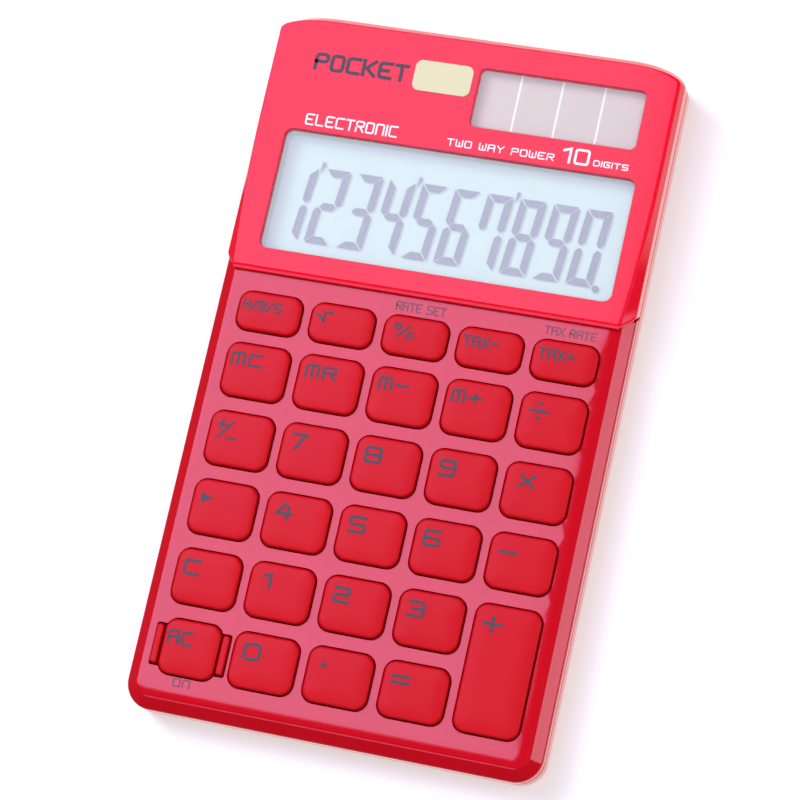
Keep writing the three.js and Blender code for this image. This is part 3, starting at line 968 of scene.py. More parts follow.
@dataclass
class FrontShell:
    """One of the two front shells: a face with openings, a facet round it and a wall below.

    Attributes:
        plan: The body's outline.
        end: Which end of the body it covers.
        face_z: Height of its face.
        parting_z: Height of its lower edge.
        facet_low_z: Height where the wall turns into the facet.
        wall: Thickness of wall and face.
        openings: Holes through the face.
        lip_round: Rounding of the shell's edge at the joint.
        hole_round: Rounding of the openings' edges.
        side_facet: How far in the facet reaches.
        facet_flat: Stretch of face that the section still holds behind the facet.
        edge_flat: Stretch of lower edge that the section holds.
        section_radii: Roundings at the lower edge and at the facet's two sides.
        arc_steps: Segments in an arc of the section.
        lip_steps: Segments in the edge at the joint.
    """

    plan: BodyPlan
    end: End
    face_z: float
    parting_z: float
    facet_low_z: float
    wall: float
    openings: list[Opening] = field(default_factory=list)
    lip_round: float = 0.12
    hole_round: float = 0.07
    side_facet: float = 1.95
    facet_flat: float = 0.55
    edge_flat: float = 0.25
    section_radii: tuple[float, float, float] = (0.12, 0.8, 0.8)
    arc_steps: int = 4
    lip_steps: int = 6

    def facet_width(self, y: float) -> float:
        """How far in the facet reaches at a place along the side."""
        return self.side_facet

    def end_facet_width(self) -> float:
        """How far in the facet reaches over the end."""
        return self.side_facet

    def joint_y(self, z: float) -> float:
        """Where the shell ends at a height, along the body."""
        raise NotImplementedError

    def drop(self, inset: float) -> float:
        """How far the face has rolled off at an inset from the outline."""
        return 0.0

    def profile(self, facet: float) -> list[Point]:
        """Gives the section from the parting line, over the facet, to the face.

        Args:
            facet: The facet's width.

        Returns:
            Pairs of inset and height.
        """
        turn = facet + self.facet_flat
        corners = [
            (self.edge_flat, self.parting_z),
            (0.0, self.parting_z),
            (0.0, self.facet_low_z),
            (facet, self.face_z - self.drop(facet)),
            (turn, self.face_z - self.drop(turn)),
        ]
        return rounded_path(corners, self.section_radii, self.arc_steps)

    def ring(
        self, draft: MeshDraft, sections: Callable[[float], Point], joint: Callable[[float], float]
    ) -> list[int]:
        """Adds one open row round the end at a section's place.

        Args:
            draft: The mesh to add to.
            sections: Gives inset and height for a facet width.
            joint: Gives where the row stops along the body, for a height.

        Returns:
            The row's point numbers, from the joint round the end to the joint.
        """
        end_inset, end_z = sections(self.end_facet_width())
        joint_z = sections(self.facet_width(joint(self.parting_z)))[1]
        half = self.plan.half_rail(
            self.end, lambda y: sections(self.facet_width(y))[0], end_inset, joint(joint_z)
        )
        right = []
        for x, y, share in half:
            side_z = sections(self.facet_width(y))[1]
            right.append((x, y, end_z * share + side_z * (1 - share)))
        left = [(-x, y, z) for x, y, z in right[:0:-1]]
        return draft.add_row(left + right)

    def build(self, name: str, node: str, finish: str) -> bpy.types.Object:
        """Builds the shell and lets it stand for its CAD node.

        Args:
            name: The piece's name.
            node: The CAD node it stands for.
            finish: Key of its finish.

        Returns:
            The shell.
        """
        draft = MeshDraft()
        under_z = self.face_z - self.wall
        outer, inner = [], []
        for k in range(len(self.profile(self.end_facet_width()))):
            outer.append(self.ring(draft, partial(self.outside, k), self.joint_y))
            inner.append(self.ring(draft, partial(self.behind, k, under_z), self.inner_joint_y))
        draft.loft(outer, closed=False)
        draft.loft(inner, closed=False)
        draft.bridge(outer[0], inner[0], closed=False)
        self.close_joint(draft, outer, inner)
        tops, unders = [], []
        for opening in self.openings:
            rows = [draft.add_outline(opening.outline(0.0), under_z)]
            for grow, depth in quarter_round(self.hole_round, self.arc_steps):
                z = self.face_z - depth
                rows.append(draft.add_row((x, y, z - self.sag(x, y)) for x, y in opening.outline(grow)))
            draft.loft(rows)
            draft.crease(rows[-1])
            unders.append(rows[0])
            tops.append(rows[-1])
        draft.fill(outer[-1], tops, self.face_points(draft))
        draft.fill(inner[-1], unders)
        piece = draft.build(name, Finishes.get(finish))
        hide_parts(node)
        return piece

    def sag(self, x: float, y: float) -> float:
        """How far the face lies below its middle at a place."""
        return 0.0

    def face_points(self, draft: MeshDraft) -> list[int]:
        """Adds single points that carry the face's curve between its openings."""
        return []

    def inner_joint_y(self, z: float) -> float:
        """Where the shell's inner surface ends at a height, along the body."""
        return JOINT.at(z)

    def outside(self, k: int, facet: float) -> Point:
        """Gives one point of the section."""
        return self.profile(facet)[k]

    def behind(self, k: int, under_z: float, facet: float) -> Point:
        """Gives the inner surface's place behind one point of the section."""
        inset, z = self.profile(facet)[k]
        return max(inset, self.wall), min(z, under_z)

    def close_joint(self, draft: MeshDraft, outer: list[list[int]], inner: list[list[int]]) -> None:
        """Closes the shell at the joint, with a rounded outer edge.

        Args:
            draft: The mesh to add to.
            outer: Rows of the outer surface.
            inner: Rows of the inner surface.
        """
        forward = 1 if self.end is End.KEYS else -1
        first = self.edge_row(outer)
        inner_row = self.edge_row(inner)
        rows = [first]
        edge = [draft.points[i] for i in first]
        normals = self.edge_normals(edge)
        for ahead, sink in self.lip_profile():
            row = []
            for (x, y, z), (nx, nz) in zip(edge, normals):
                size = self.lip_at(z)
                row.append((x - nx * sink * size, y + ahead * size * forward, z - nz * sink * size))
            rows.append(draft.add_row(row))
        rows.append(draft.add_row(self.under_lip([draft.points[i] for i in rows[-1]])))
        rows.append(inner_row)
        draft.loft(rows, closed=False)

    def lip_profile(self) -> list[Point]:
        """Gives how far ahead and how far down the edge's section runs, as shares of its size."""
        return [(1 - depth, inset) for inset, depth in quarter_round(1.0, self.lip_steps)[1:]]

    def lip_at(self, z: float) -> float:
        """Gives the size of the shell's shaped edge at a height."""
        return self.lip_round

    def under_lip(self, edge: list[Point3]) -> list[Point3]:
        """Gives the line where the rounded edge turns back into the shell."""
        return edge

    @staticmethod
    def edge_row(rows: list[list[int]]) -> list[int]:
        """Gives the points where the rows end at the joint, from one parting edge to the other."""
        return [row[0] for row in rows] + [row[-1] for row in rows[::-1]]

    @staticmethod
    def edge_normals(points: list[Point3]) -> list[Point]:
        """Gives each edge point's outward direction across the body and up.

        Args:
            points: The edge's points.

        Returns:
            One direction for each point.
        """
        normals = []
        for i, point in enumerate(points):
            before = points[max(i - 1, 0)]
            after = points[min(i + 1, len(points) - 1)]
            step = Vector((after[0] - before[0], after[2] - before[2])).normalized()
            normals.append((-step.y, step.x))
        return normals


@dataclass
class KeyShell(FrontShell):
    """Lower front shell, whose face rolls off gently before its facet.

    Attributes:
        crown_drop: How far the face has rolled off where the facet starts.
        crown_inset: Where the roll-off starts, in from the outline.
        crown_rows: Insets of the points that carry the roll-off.
        rail_inset: Where the section ends and the filled face starts.
        joint_gap: Gap to the display shell at the joint.
        rim_clear: Distance that those points keep from an opening's rim.
        joint_clear: Distance that they keep from the joint.
    """

    crown_drop: float = 0.11
    crown_inset: float = 4.0
    crown_rows: tuple[float, ...] = (3.3, 3.7, 4.0)
    rail_inset: float = 2.9
    joint_gap: float = 0.3
    rim_clear: float = 0.25
    joint_clear: float = 0.6

    def joint_y(self, z: float) -> float:
        """Where the shell's outer surface ends under the display shell's lip."""
        return JOINT.at(z) - self.joint_gap - self.lip_round

    def inner_joint_y(self, z: float) -> float:
        """Where the shell's inner surface ends."""
        return JOINT.at(z) - self.joint_gap

    def drop(self, inset: float) -> float:
        """How far the face has rolled off at an inset from the outline."""
        share = max(self.crown_inset - inset, 0.0) / (self.crown_inset - self.facet_width(0.0))
        return self.crown_drop * share**2

    def sag(self, x: float, y: float) -> float:
        """How far the face lies below its middle at a place.

        Args:
            x: The place across.
            y: The place along.

        Returns:
            The depth below the middle.
        """
        across = abs(x) - (self.plan.half_width - self.plan.corner)
        along = -y - (self.plan.half_length - self.plan.corner)
        outside = math.hypot(max(across, 0.0), max(along, 0.0)) + min(max(across, along), 0.0)
        return self.drop(self.plan.corner - outside)

    def face_points(self, draft: MeshDraft) -> list[int]:
        """Adds single points that carry the roll-off between the face's edge and its openings.

        Args:
            draft: The mesh to add to.

        Returns:
            The points' numbers.
        """
        rims = [opening.outline(self.hole_round + self.rim_clear) for opening in self.openings]
        stop_y = self.joint_y(self.face_z) - self.joint_clear
        numbers: list[int] = []
        for inset in self.crown_rows:
            right = self.plan.half_rail(self.end, lambda y, inset=inset: inset, inset, stop_y)
            both = [(side * x, y) for x, y, _ in right for side in (1, -1) if side > 0 or x > 0]
            free = [(x, y) for x, y in both if not any(is_inside(rim, x, y) for rim in rims)]
            numbers += draft.add_row((x, y, self.face_z - self.sag(x, y)) for x, y in free)
        return numbers

    def profile(self, facet: float) -> list[Point]:
        """Gives the section with one more point, where the filled face starts."""
        return [*super().profile(facet), (self.rail_inset, self.face_z - self.drop(self.rail_inset))]


@dataclass
class DisplayShell(FrontShell):
    """Upper front shell, raised, with a facet that is wide at the lip and narrow at the top.

    Attributes:
        near_facet: Width of the side facet at the lip.
        far_facet: Width of the side facet further up.
        top_facet: Width of the facet over the top end.
        low_lip: Rounding of the edge down the side wall.
        taper_length: How far the facet takes to narrow.
        lip_corners: The lip's section, ahead and down as shares of its size.
        lip_radii: Roundings of that section's corners.
    """

    facet_flat: float = 0.6
    section_radii: tuple[float, float, float] = (0.12, 0.5, 0.3)
    near_facet: float = 2.0
    far_facet: float = 0.5
    top_facet: float = 1.2
    low_lip: float = 0.25
    taper_length: float = 28.0
    lip_corners: tuple[Point, ...] = ((0.0, 0.0), (0.2, 0.0), (0.5, 0.08), (0.9, 0.32), (1.0, 1.0))
    lip_radii: tuple[float, ...] = (0.3, 0.3, 0.14)

    def joint_y(self, z: float) -> float:
        """Where the shell's rounded edge starts, down its side."""
        return JOINT.cover(z) + self.lip_at(z)

    def lip_at(self, z: float) -> float:
        """Gives the rounding of the lip, which runs out down the side wall."""
        share = min(max((z - self.parting_z) / (self.facet_low_z - self.parting_z), 0.0), 1.0)
        return self.low_lip + (self.lip_round - self.low_lip) * share

    def lip_profile(self) -> list[Point]:
        """Gives the lip's section: a gentle step, a slanted band and a rounded front edge."""
        return rounded_path(self.lip_corners, self.lip_radii, self.arc_steps)[1:]

    def under_lip(self, edge: list[Point3]) -> list[Point3]:
        """Gives the lip's underside, back to where the key shell ends."""
        return [(x, max(y, JOINT.at(z)), z) for x, y, z in edge]

    def facet_width(self, y: float) -> float:
        """How far in the facet reaches at a place along the side.

        Args:
            y: The place along the side.

        Returns:
            The facet's width there.
        """
        share = min(max((y - JOINT.lip_y) / self.taper_length, 0.0), 1.0)
        ease = (1 - share) ** 2
        return self.far_facet + (self.near_facet - self.far_facet) * ease

    def end_facet_width(self) -> float:
        """How far in the facet reaches over the top end."""
        return self.top_facet


@dataclass(frozen=True)
class JointLine:
    """The slanted line where the display shell meets the key shell, along the body for each height."""

    lip_y: float = 14.2
    face_y: float = 15.5
    face_z: float = 7.8
    facet_y: float = 16.3
    facet_z: float = 7.1
    parting_y: float = 17.8
    parting_z: float = 4.4
    cover_z: float = 9.0

    def at(self, z: float) -> float:
        """Gives the joint's place under the lip.

        Args:
            z: The height.

        Returns:
            The place along the body.
        """
        if z >= self.facet_z:
            share = (z - self.facet_z) / (self.face_z - self.facet_z)
            return self.facet_y + (self.face_y - self.facet_y) * share
        share = (z - self.parting_z) / (self.facet_z - self.parting_z)
        return self.parting_y + (self.facet_y - self.parting_y) * share

    def cover(self, z: float) -> float:
        """Gives the place of the display shell's edge, which starts further forward on its face.

        Args:
            z: The height.

        Returns:
            The place along the body.
        """
        if z < self.facet_z:
            return self.at(z)
        share = (z - self.facet_z) / (self.cover_z - self.facet_z)
        return self.facet_y + (self.lip_y - self.facet_y) * share


JOINT = JointLine()


# ---- Rear shell ----------------------------------------


def circle(centre: Point, radius: float, steps: int = 32) -> list[Point]:
    """Gives a circle's outline, anticlockwise."""
    turns = [2 * math.pi * i / steps for i in range(steps)]
    return [(centre[0] + radius * math.cos(t), centre[1] + radius * math.sin(t)) for t in turns]


@dataclass
class RearShell:
    """Flat-backed tray with a rolled edge, a tongue behind the parting line and seats for the screws."""

    plan: BodyPlan
    parting_z: float = 4.1
    edge_round: float = 1.8
    floor_z: float = 1.6
    tongue_outer: float = 1.55
    tongue_inner: float = 2.15
    tongue_z: float = 5.3
    seat_radius: float = 1.45
    seat_depth: float = 1.0
    bore_radius: float = 0.75
    seat_flare: tuple[Point, ...] = ((0.2, 0.0), (0.06, 0.06), (0.0, 0.2))
    flat_margin: float = 0.03
    small_radii: tuple[float, ...] = (0.12, 0.1, 0.15, 0.15)
    arc_steps: int = 7

    def section(self) -> list[Point]:
        """Gives the section from the flat back, up the outside, over the tongue and down to the floor.

        Returns:
            Pairs of inset and height.
        """
        corners = [
            (self.edge_round + self.flat_margin, 0.0),
            (0.0, 0.0),
            (0.0, self.parting_z),
            (self.tongue_outer, self.parting_z),
            (self.tongue_outer, self.tongue_z),
            (self.tongue_inner, self.tongue_z),
            (self.tongue_inner, self.floor_z),
        ]
        return rounded_path(corners, (self.edge_round, *self.small_radii), self.arc_steps)

    def screw_spots(self) -> list[Point]:
        """Gives the middle of each case screw."""
        return [NodeBox.of(node).centre for node in case_screws()]

    def build(self) -> bpy.types.Object:
        """Builds the shell.

        Returns:
            The shell.
        """
        draft = MeshDraft()
        rows = [draft.add_outline(self.plan.closed(inset), z) for inset, z in self.section()]
        draft.loft(rows)
        seats, bores = [], []
        for spot in self.screw_spots():
            steps = [(self.seat_radius + extra, z) for extra, z in self.seat_flare]
            steps += [(self.seat_radius, self.seat_depth), (self.bore_radius, self.seat_depth)]
            steps += [(self.bore_radius, self.floor_z)]
            seat = [draft.add_outline(circle(spot, radius), z) for radius, z in steps]
            draft.loft(seat)
            seats.append(seat[0])
            bores.append(seat[-1])
        draft.fill(rows[0], seats)
        draft.fill(rows[-1], bores)
        piece = draft.build("rear_shell", Finishes.get("rear_shell"))
        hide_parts("rear_case")
        return piece


# ---- Lettering ----------------------------------------


class Glyphs:
    """Plain single-stroke letters on a grid 4 wide and 6 high; a pair of digits is a point, across, up."""

    STROKES: ClassVar[dict[str, str]] = {
        "0": "00 40 46 06 00",
        "1": "05 26 20",
        "2": "06 46 43 03 00 40",
        "3": "06 46 40 00|13 43",
        "4": "26 02 42|35 30",
        "5": "46 06 03 43 40 00",
        "6": "46 06 00 40 43 03",
        "7": "06 46 10",
        "8": "03 06 46 43 03 00 40 43",
        "9": "00 40 46 06 03 43",
        "A": "00 06 46 40|03 43",
        "C": "46 06 00 40",
        "D": "00 06 36 45 41 30 00",
        "E": "46 06 00 40|03 33",
        "G": "46 06 00 40 43 23",
        "H": "00 06|40 46|03 43",
        "I": "00 06",
        "K": "00 06|46 13 40|03 13",
        "L": "06 00 40",
        "M": "00 06 46 40|26 20",
        "N": "00 06 46 40",
        "O": "00 40 46 06 00",
        "P": "00 06 46 43 03",
        "R": "00 06 46 43 03|23 40",
        "S": "46 06 03 43 40 00",
        "T": "06 46|26 20",
        "W": "06 00 40 46|24 20",
        "X": "00 46|06 40",
        "Y": "06 23 46|23 20",
        "+": "03 43|21 25",
        "-": "03 43",
        "x": "11 45|15 41",
        "/": "00 46",
        "=": "02 42|04 44",
        "v": "04 13 20 26 46",
        " ": "",
    }
    NARROW: ClassVar[dict[str, int]] = {"I": 0, "1": 2, " ": 2, "/": 3}
    SHARP_TURN: ClassVar[float] = math.radians(100)
    LONGEST_EASE: ClassVar[float] = 0.45
    BULGE: ClassVar[float] = 0.41

    @classmethod
    def width(cls, letter: str) -> int:
        """Gives a letter's width on the grid."""
        return cls.NARROW.get(letter, 4)

    @classmethod
    def strokes(cls, letter: str) -> list[list[Point]]:
        """Gives a letter's strokes as points on the grid.

        Args:
            letter: The letter.

        Returns:
            Its strokes.
        """
        runs = [run.split() for run in cls.STROKES[letter].split("|") if run]
        squeeze = cls.width(letter) / 4 if letter == "/" else 1.0
        return [[(int(pair[0]) * squeeze, float(pair[1])) for pair in run] for run in runs]

    @classmethod
    def eased(cls, stroke: list[Point], radius: float) -> list[Point]:
        """Rounds a stroke's corners and keeps its sharp ones.

        Args:
            stroke: The stroke's points in millimetres.
            radius: How far from a corner its rounding starts.

        Returns:
            The stroke with its rounded corners.
        """
        closed = stroke[0] == stroke[-1]
        points = [Vector(p) for p in (stroke[:-1] if closed else stroke)]
        eased: list[Point] = []
        for i, corner in enumerate(points):
            before, after = points[i - 1], points[(i + 1) % len(points)]
            is_end = not closed and i in (0, len(points) - 1)
            if is_end or (corner - before).angle(after - corner) > cls.SHARP_TURN:
                eased.append(corner.to_tuple())
                continue
            reach_back = min(radius / (before - corner).length, cls.LONGEST_EASE)
            reach_on = min(radius / (after - corner).length, cls.LONGEST_EASE)
            first, last = corner.lerp(before, reach_back), corner.lerp(after, reach_on)
            middle = first.lerp(last, 0.5).lerp(corner, cls.BULGE)
            eased.extend(point.to_tuple() for point in (first, middle, last))
        if closed:
            eased.append(eased[0])
        return eased


@dataclass(frozen=True)
class Legend:
    """A line of printed lettering.

    Attributes:
        text: What it says.
        left: Its left edge in millimetres.
        top: Its top edge.
        width: Its width.
        height: Its height.
        weight: Width of its strokes.
        letter_gap: Gap between two letters on the glyphs' grid.
        ease: Reach of a corner's rounding for the strokes' width.
    """

    text: str
    left: float
    top: float
    width: float
    height: float
    weight: float = 0.44
    letter_gap: float = 1.7
    ease: float = 0.8

    def strokes(self) -> list[list[Point]]:
        """Gives the line's strokes in millimetres.

        Returns:
            One list of points for each stroke.
        """
        total = sum(Glyphs.width(c) for c in self.text) + self.letter_gap * (len(self.text) - 1)
        across = (self.width - self.weight) / max(total, 1)
        up = (self.height - self.weight) / 6
        left = self.left + self.weight / 2
        bottom = self.top - self.height + self.weight / 2
        strokes: list[list[Point]] = []
        for letter in self.text:
            for stroke in Glyphs.strokes(letter):
                placed = [(left + x * across, bottom + y * up) for x, y in stroke]
                strokes.append(Glyphs.eased(placed, self.weight * self.ease))
            left += (Glyphs.width(letter) + self.letter_gap) * across
        return strokes

    def draw(self, draft: MeshDraft, height_at: HeightAt, thick: float = PRINT_THICK) -> None:
        """Adds the lettering to a draft as thin ribbons that lie on a surface.

        Args:
            draft: The mesh to add to.
            height_at: Height of the surface at a place.
            thick: How far the ribbons stand up.
        """
        for number, stroke in enumerate(self.strokes()):
            # A stroke lies a little higher than the last, so that no two share a face where they cross
            lift = thick + number % 4 * STROKE_LIFT
            ribbon(draft, subdivided(stroke, max(self.weight, FOLLOW_STEP)), self.weight, height_at, lift)


def subdivided(stroke: Sequence[Point], step: float) -> list[Point]:
    """Adds points along a line, so that it can follow a curved surface.

    Args:
        stroke: The line's points.
        step: The longest stretch left between two points.

    Returns:
        The line with its added points.
    """
    line = [stroke[0]]
    for (x, y), end in zip(stroke, stroke[1:]):
        count = max(math.ceil(math.dist((x, y), end) / step), 1)
        way_x, way_y = end[0] - x, end[1] - y
        line += [(x + way_x * i / count, y + way_y * i / count) for i in range(1, count + 1)]
    return line


def ribbon(
    draft: MeshDraft,
    stroke: Sequence[Point],
    weight: float,
    height_at: HeightAt,
    thick: float,
) -> None:
    """Adds one flat ribbon along a bent line, with mitred corners and squared ends.

    Args:
        draft: The mesh to add to.
        stroke: The line's points.
        weight: The ribbon's width.
        height_at: Height of the surface it lies on.
        thick: How far it stands up from there.
    """
    closed = (Vector(stroke[0]) - Vector(stroke[-1])).length < 1e-6
    points = [Vector(p) for p in (stroke[:-1] if closed else stroke)]
    count = len(points)
    rows: list[list[int]] = []
    for i, here in enumerate(points):
        before = points[i - 1] if closed or i > 0 else None
        after = points[(i + 1) % count] if closed or i < count - 1 else None
        arrive = (here - before).normalized() if before is not None else (after - here).normalized()
        leave = (after - here).normalized() if after is not None else arrive
        middle = here
        if before is None:
            middle = here - leave * weight / 2
        if after is None:
            middle = here + arrive * weight / 2
        bisector = (arrive + leave).normalized()
        side = Vector((-bisector.y, bisector.x))
        stretch = 1 / max(side.dot(Vector((-leave.y, leave.x))), 1 / LONGEST_MITRE)
        reach = side * (weight / 2 * stretch)
        left, right = middle + reach, middle - reach
        row = []
        for lift in (-PRINT_SUNK, thick):
            row.extend((p.x, p.y, height_at(p.x, p.y) + lift) for p in (left, right))
        rows.append(draft.add_row((row[0], row[1], row[3], row[2])))
    for first, second in zip(rows, rows[1:]):
        draft.bridge(first, second)
    if closed:
        draft.bridge(rows[-1], rows[0])
    else:
        draft.cap(rows[0])
        draft.cap(rows[-1])


# ---- Keys ----------------------------------------


@dataclass(frozen=True)
class KeyFace:
    """What is printed on one key, in the upper left of its cap.

    Attributes:
        text: The legend.
        left: How far its left edge lies from the cap's.
        width: Its width.
        height: Its height.
        down: How far its top lies below the cap's upper edge.
        weight: Width of its strokes.
    """

    text: str
    left: float
    width: float
    height: float
    down: float = 1.7
    weight: float = 0.5


KEY_FACES: dict[str, KeyFace] = {
    "key_7": KeyFace("7", 1.75, 2.5, 2.9),
    "key_8": KeyFace("8", 1.6, 3.0, 2.9),
    "key_9": KeyFace("9", 1.6, 2.9, 2.9),
    "key_4": KeyFace("4", 1.8, 2.9, 2.9),
    "key_5": KeyFace("5", 1.6, 3.0, 2.9),
    "key_6": KeyFace("6", 1.6, 2.9, 2.9),
    "key_1": KeyFace("1", 2.3, 1.5, 2.8),
    "key_2": KeyFace("2", 1.7, 2.9, 2.8),
    "key_3": KeyFace("3", 1.6, 2.9, 2.8),
    "key_0": KeyFace("0", 1.8, 3.0, 2.9),
    "key_decimal": KeyFace("", 2.3, 1.0, 1.0, 2.5),
    "key_equals": KeyFace("=", 1.5, 3.1, 3.6, 1.2),
    "key_times": KeyFace("x", 1.6, 3.5, 3.1, 1.5),
    "key_minus": KeyFace("-", 1.6, 3.0, 3.0, 1.7),
    "key_plus": KeyFace("+", 1.5, 3.3, 3.9, 1.3),
    "key_divide": KeyFace("-", 1.6, 3.2, 2.9),
    "key_sign": KeyFace("", 1.2, 3.6, 3.1, 1.5),
    "key_backspace": KeyFace("", 1.5, 2.2, 1.7, 2.4),
    "key_clear": KeyFace("C", 1.3, 2.9, 2.7, 1.8),
    "key_all_clear": KeyFace("AC", 0.75, 4.3, 2.4, 1.9, 0.44),
    "key_memory_clear": KeyFace("MC", 1.0, 5.4, 2.3, 1.7, 0.42),
    "key_memory_recall": KeyFace("MR", 1.25, 5.4, 2.3, 1.7, 0.42),
    "key_memory_minus": KeyFace("M-", 1.25, 5.2, 2.3, 1.7, 0.42),
    "key_memory_plus": KeyFace("M+", 1.0, 5.2, 2.3, 1.7, 0.42),
    "key_time_format": KeyFace("H/M/S", 0.8, 6.7, 1.9, 1.45, 0.31),
    "key_square_root": KeyFace("v", 0.95, 2.9, 2.1, 1.45, 0.4),
    "key_percent": KeyFace("/", 2.4, 2.2, 2.3, 1.5, 0.38),
    "key_tax_minus": KeyFace("TAX-", 0.85, 6.1, 2.0, 1.45, 0.34),
    "key_tax_plus": KeyFace("TAX+", 0.95, 6.1, 2.0, 1.45, 0.34),
}


GUARDED_KEY = "key_all_clear"


@dataclass(frozen=True)
class Marks:
    """What some legends hold besides letters.

    Attributes:
        dots: Key, place from the legend's middle as shares of its width and height, and radius.
        dot_sunk: How far a dot reaches into the cap.
        ring_across: Place of the percent sign's rings, as a share of its width.
        ring_down: The same along its height.
        ring_radius: Radius of a ring's line.
        round_steps: Segments round a dot or ring.
        sign: Lines of the plus-minus sign, across and down from its corner: plus, slash and minus.
        sign_weight: Width of those lines.
    """

    dots: tuple[tuple[str, float, float, float], ...] = (
        ("key_divide", 0.0, -0.42, 0.36), ("key_divide", 0.0, 0.42, 0.36), ("key_decimal", 0.0, 0.0, 0.46)
    )
    dot_sunk: float = 0.01
    ring_across: float = 0.5
    ring_down: float = 0.27
    ring_radius: float = 0.5
    round_steps: int = 16
    sign: tuple[tuple[Point, Point], ...] = (
        ((0.25, 0.95), (1.75, 0.95)),
        ((1.0, 1.7), (1.0, 0.2)),
        ((0.65, 3.1), (2.75, 0.4)),
        ((2.15, 3.1), (3.5, 3.1)),
    )
    sign_weight: float = 0.4


MARKS = Marks()


@dataclass
class KeyCap:
    """A key cap: plunger and retaining flange below, and a cap with rolled edges and a pillowed top."""

    node: str
    flange_reach: float = 0.5
    flange_corner: float = 1.2
    flange_low: float = 5.6
    flange_high: float = 6.15
    stem_share: float = 0.42
    stem_corner: float = 0.5
    corner: float = 2.0
    least_corner: float = 0.12
    corner_steps: int = 9
    draft_mm: float = 0.05
    edge_round: float = 0.5
    pillow: float = 0.16
    pillow_reach: float = 3.0
    arc_steps: int = 6
    pillow_steps: int = 7
    crest_half: float = 0.15
    guarded_widen: float = 0.55

    def __post_init__(self) -> None:
        """Reads the key's place and size from the frame."""
        box = NodeBox.of(self.node)
        widen = self.guarded_widen if self.node == GUARDED_KEY else 0.0
        width, self.length = box.size(self.flange_reach)
        self.centre = box.centre
        self.width = width + 2 * widen
        self.top = box.high.z
        self.stem_low = box.low.z
        self.flange_out = self.flange_reach - widen

    def crown(self, inset: float) -> float:
        """Gives the top's height at an inset from the cap's outline."""
        share = min(max((inset - self.draft_mm) / self.pillow_reach, 0.0), 1.0)
        return self.top - self.pillow * (1 - share) ** 2

    def height_at(self, x: float, y: float) -> float:
        """Gives the top's height at a place.

        Args:
            x: The place across.
            y: The place along.

        Returns:
            The top's height there.
        """
        across = abs(x - self.centre[0]) - (self.width / 2 - self.corner)
        along = abs(y - self.centre[1]) - (self.length / 2 - self.corner)
        outside = math.hypot(max(across, 0.0), max(along, 0.0)) + min(max(across, along), 0.0)
        return self.crown(self.corner - outside)

    def ring(self, draft: MeshDraft, inset: float, z: float, corner: float | None = None) -> list[int]:
        """Adds one outline of the cap, drawn in by an inset.

        Args:
            draft: The mesh to add to.
            inset: How far it is drawn in.
            z: Its height.
            corner: Radius of its corners; None for the cap's own.

        Returns:
            The points' numbers.
        """
        radius = max(self.corner - inset, self.least_corner) if corner is None else corner
        size = (self.width, self.length)
        return draft.add_outline(rounded_rectangle(self.centre, size, radius, self.corner_steps, inset), z)

    def build(self) -> bpy.types.Object:
        """Builds the cap and its legend.

        Returns:
            The cap.
        """
        draft = MeshDraft()
        stem = (1 - self.stem_share) / 2 * min(self.width, self.length)
        rows = [
            self.ring(draft, stem, self.stem_low, self.stem_corner),
            self.ring(draft, stem, self.flange_low, self.stem_corner),
            self.ring(draft, -self.flange_out, self.flange_low, self.flange_corner),
            self.ring(draft, -self.flange_out, self.flange_high, self.flange_corner),
            self.ring(draft, 0.0, self.flange_high),
        ]
        crest = self.crown(self.edge_round)
        for inset, depth in quarter_round(self.edge_round, self.arc_steps):
            rows.append(self.ring(draft, self.draft_mm + inset, crest - depth))
        start = self.draft_mm + self.edge_round
        limit = min(self.width, self.length) / 2 - self.crest_half
        for i in range(1, self.pillow_steps + 1):
            inset = start + (min(self.pillow_reach, limit) - start) * i / self.pillow_steps
            rows.append(self.ring(draft, inset, self.crown(inset)))
        draft.solid(rows)
        piece = draft.build(self.node.replace("key_", "cap_"), Finishes.get("key_cap"), self.node, 40)
        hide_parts(self.node)
        self.print_legend()
        return piece

    def print_legend(self) -> None:
        """Prints the cap's legend as one thin piece that travels with the key."""
        face = KEY_FACES[self.node]
        left = self.centre[0] - self.width / 2 + face.left
        top = self.centre[1] + self.length / 2 - face.down
        draft = MeshDraft()
        Legend(face.text, left, top, face.width, face.height, face.weight).draw(draft, self.height_at)
        self.extra_marks(draft, left, top, face)
        piece = draft.build(self.node.replace("key_", "legend_"), Finishes.get("legend"), self.node)

    def extra_marks(self, draft: MeshDraft, left: float, top: float, face: KeyFace) -> None:
        """Adds what a legend holds besides letters: dots, rings and the arrow.

        Args:
            draft: The legend's mesh.
            left: The legend's left edge.
            top: Its top edge.
            face: The legend's sizes.
        """
        x, y = left + face.width / 2, top - face.height / 2
        for key, across, down, radius in MARKS.dots:
            if self.node == key:
                self.dot(draft, (x + across * face.width, y + down * face.height), radius)
        if self.node == "key_percent":
            for side in (-1, 1):
                middle = (x + side * face.width * MARKS.ring_across, y - side * face.height * MARKS.ring_down)
                loop = circle(middle, MARKS.ring_radius, MARKS.round_steps)
                ribbon(draft, [*loop, loop[0]], face.weight, self.height_at, PRINT_THICK)
        if self.node == "key_sign":
            for number, line in enumerate(MARKS.sign):
                stroke = [(left + across, top - down) for across, down in line]
                lift = PRINT_THICK + number * STROKE_LIFT
                ribbon(draft, stroke, MARKS.sign_weight, self.height_at, lift)
        if self.node == "key_backspace":
            arrow = [(left, top - face.height), (left + face.width, y), (left, top)]
            draft.patch(arrow, self.height_at, PRINT_SUNK)

    def dot(self, draft: MeshDraft, centre: Point, radius: float) -> None:
        """Adds one printed dot."""
        height = self.height_at(*centre)
        draft.patch(circle(centre, radius, MARKS.round_steps), lambda x, y: height, MARKS.dot_sunk)


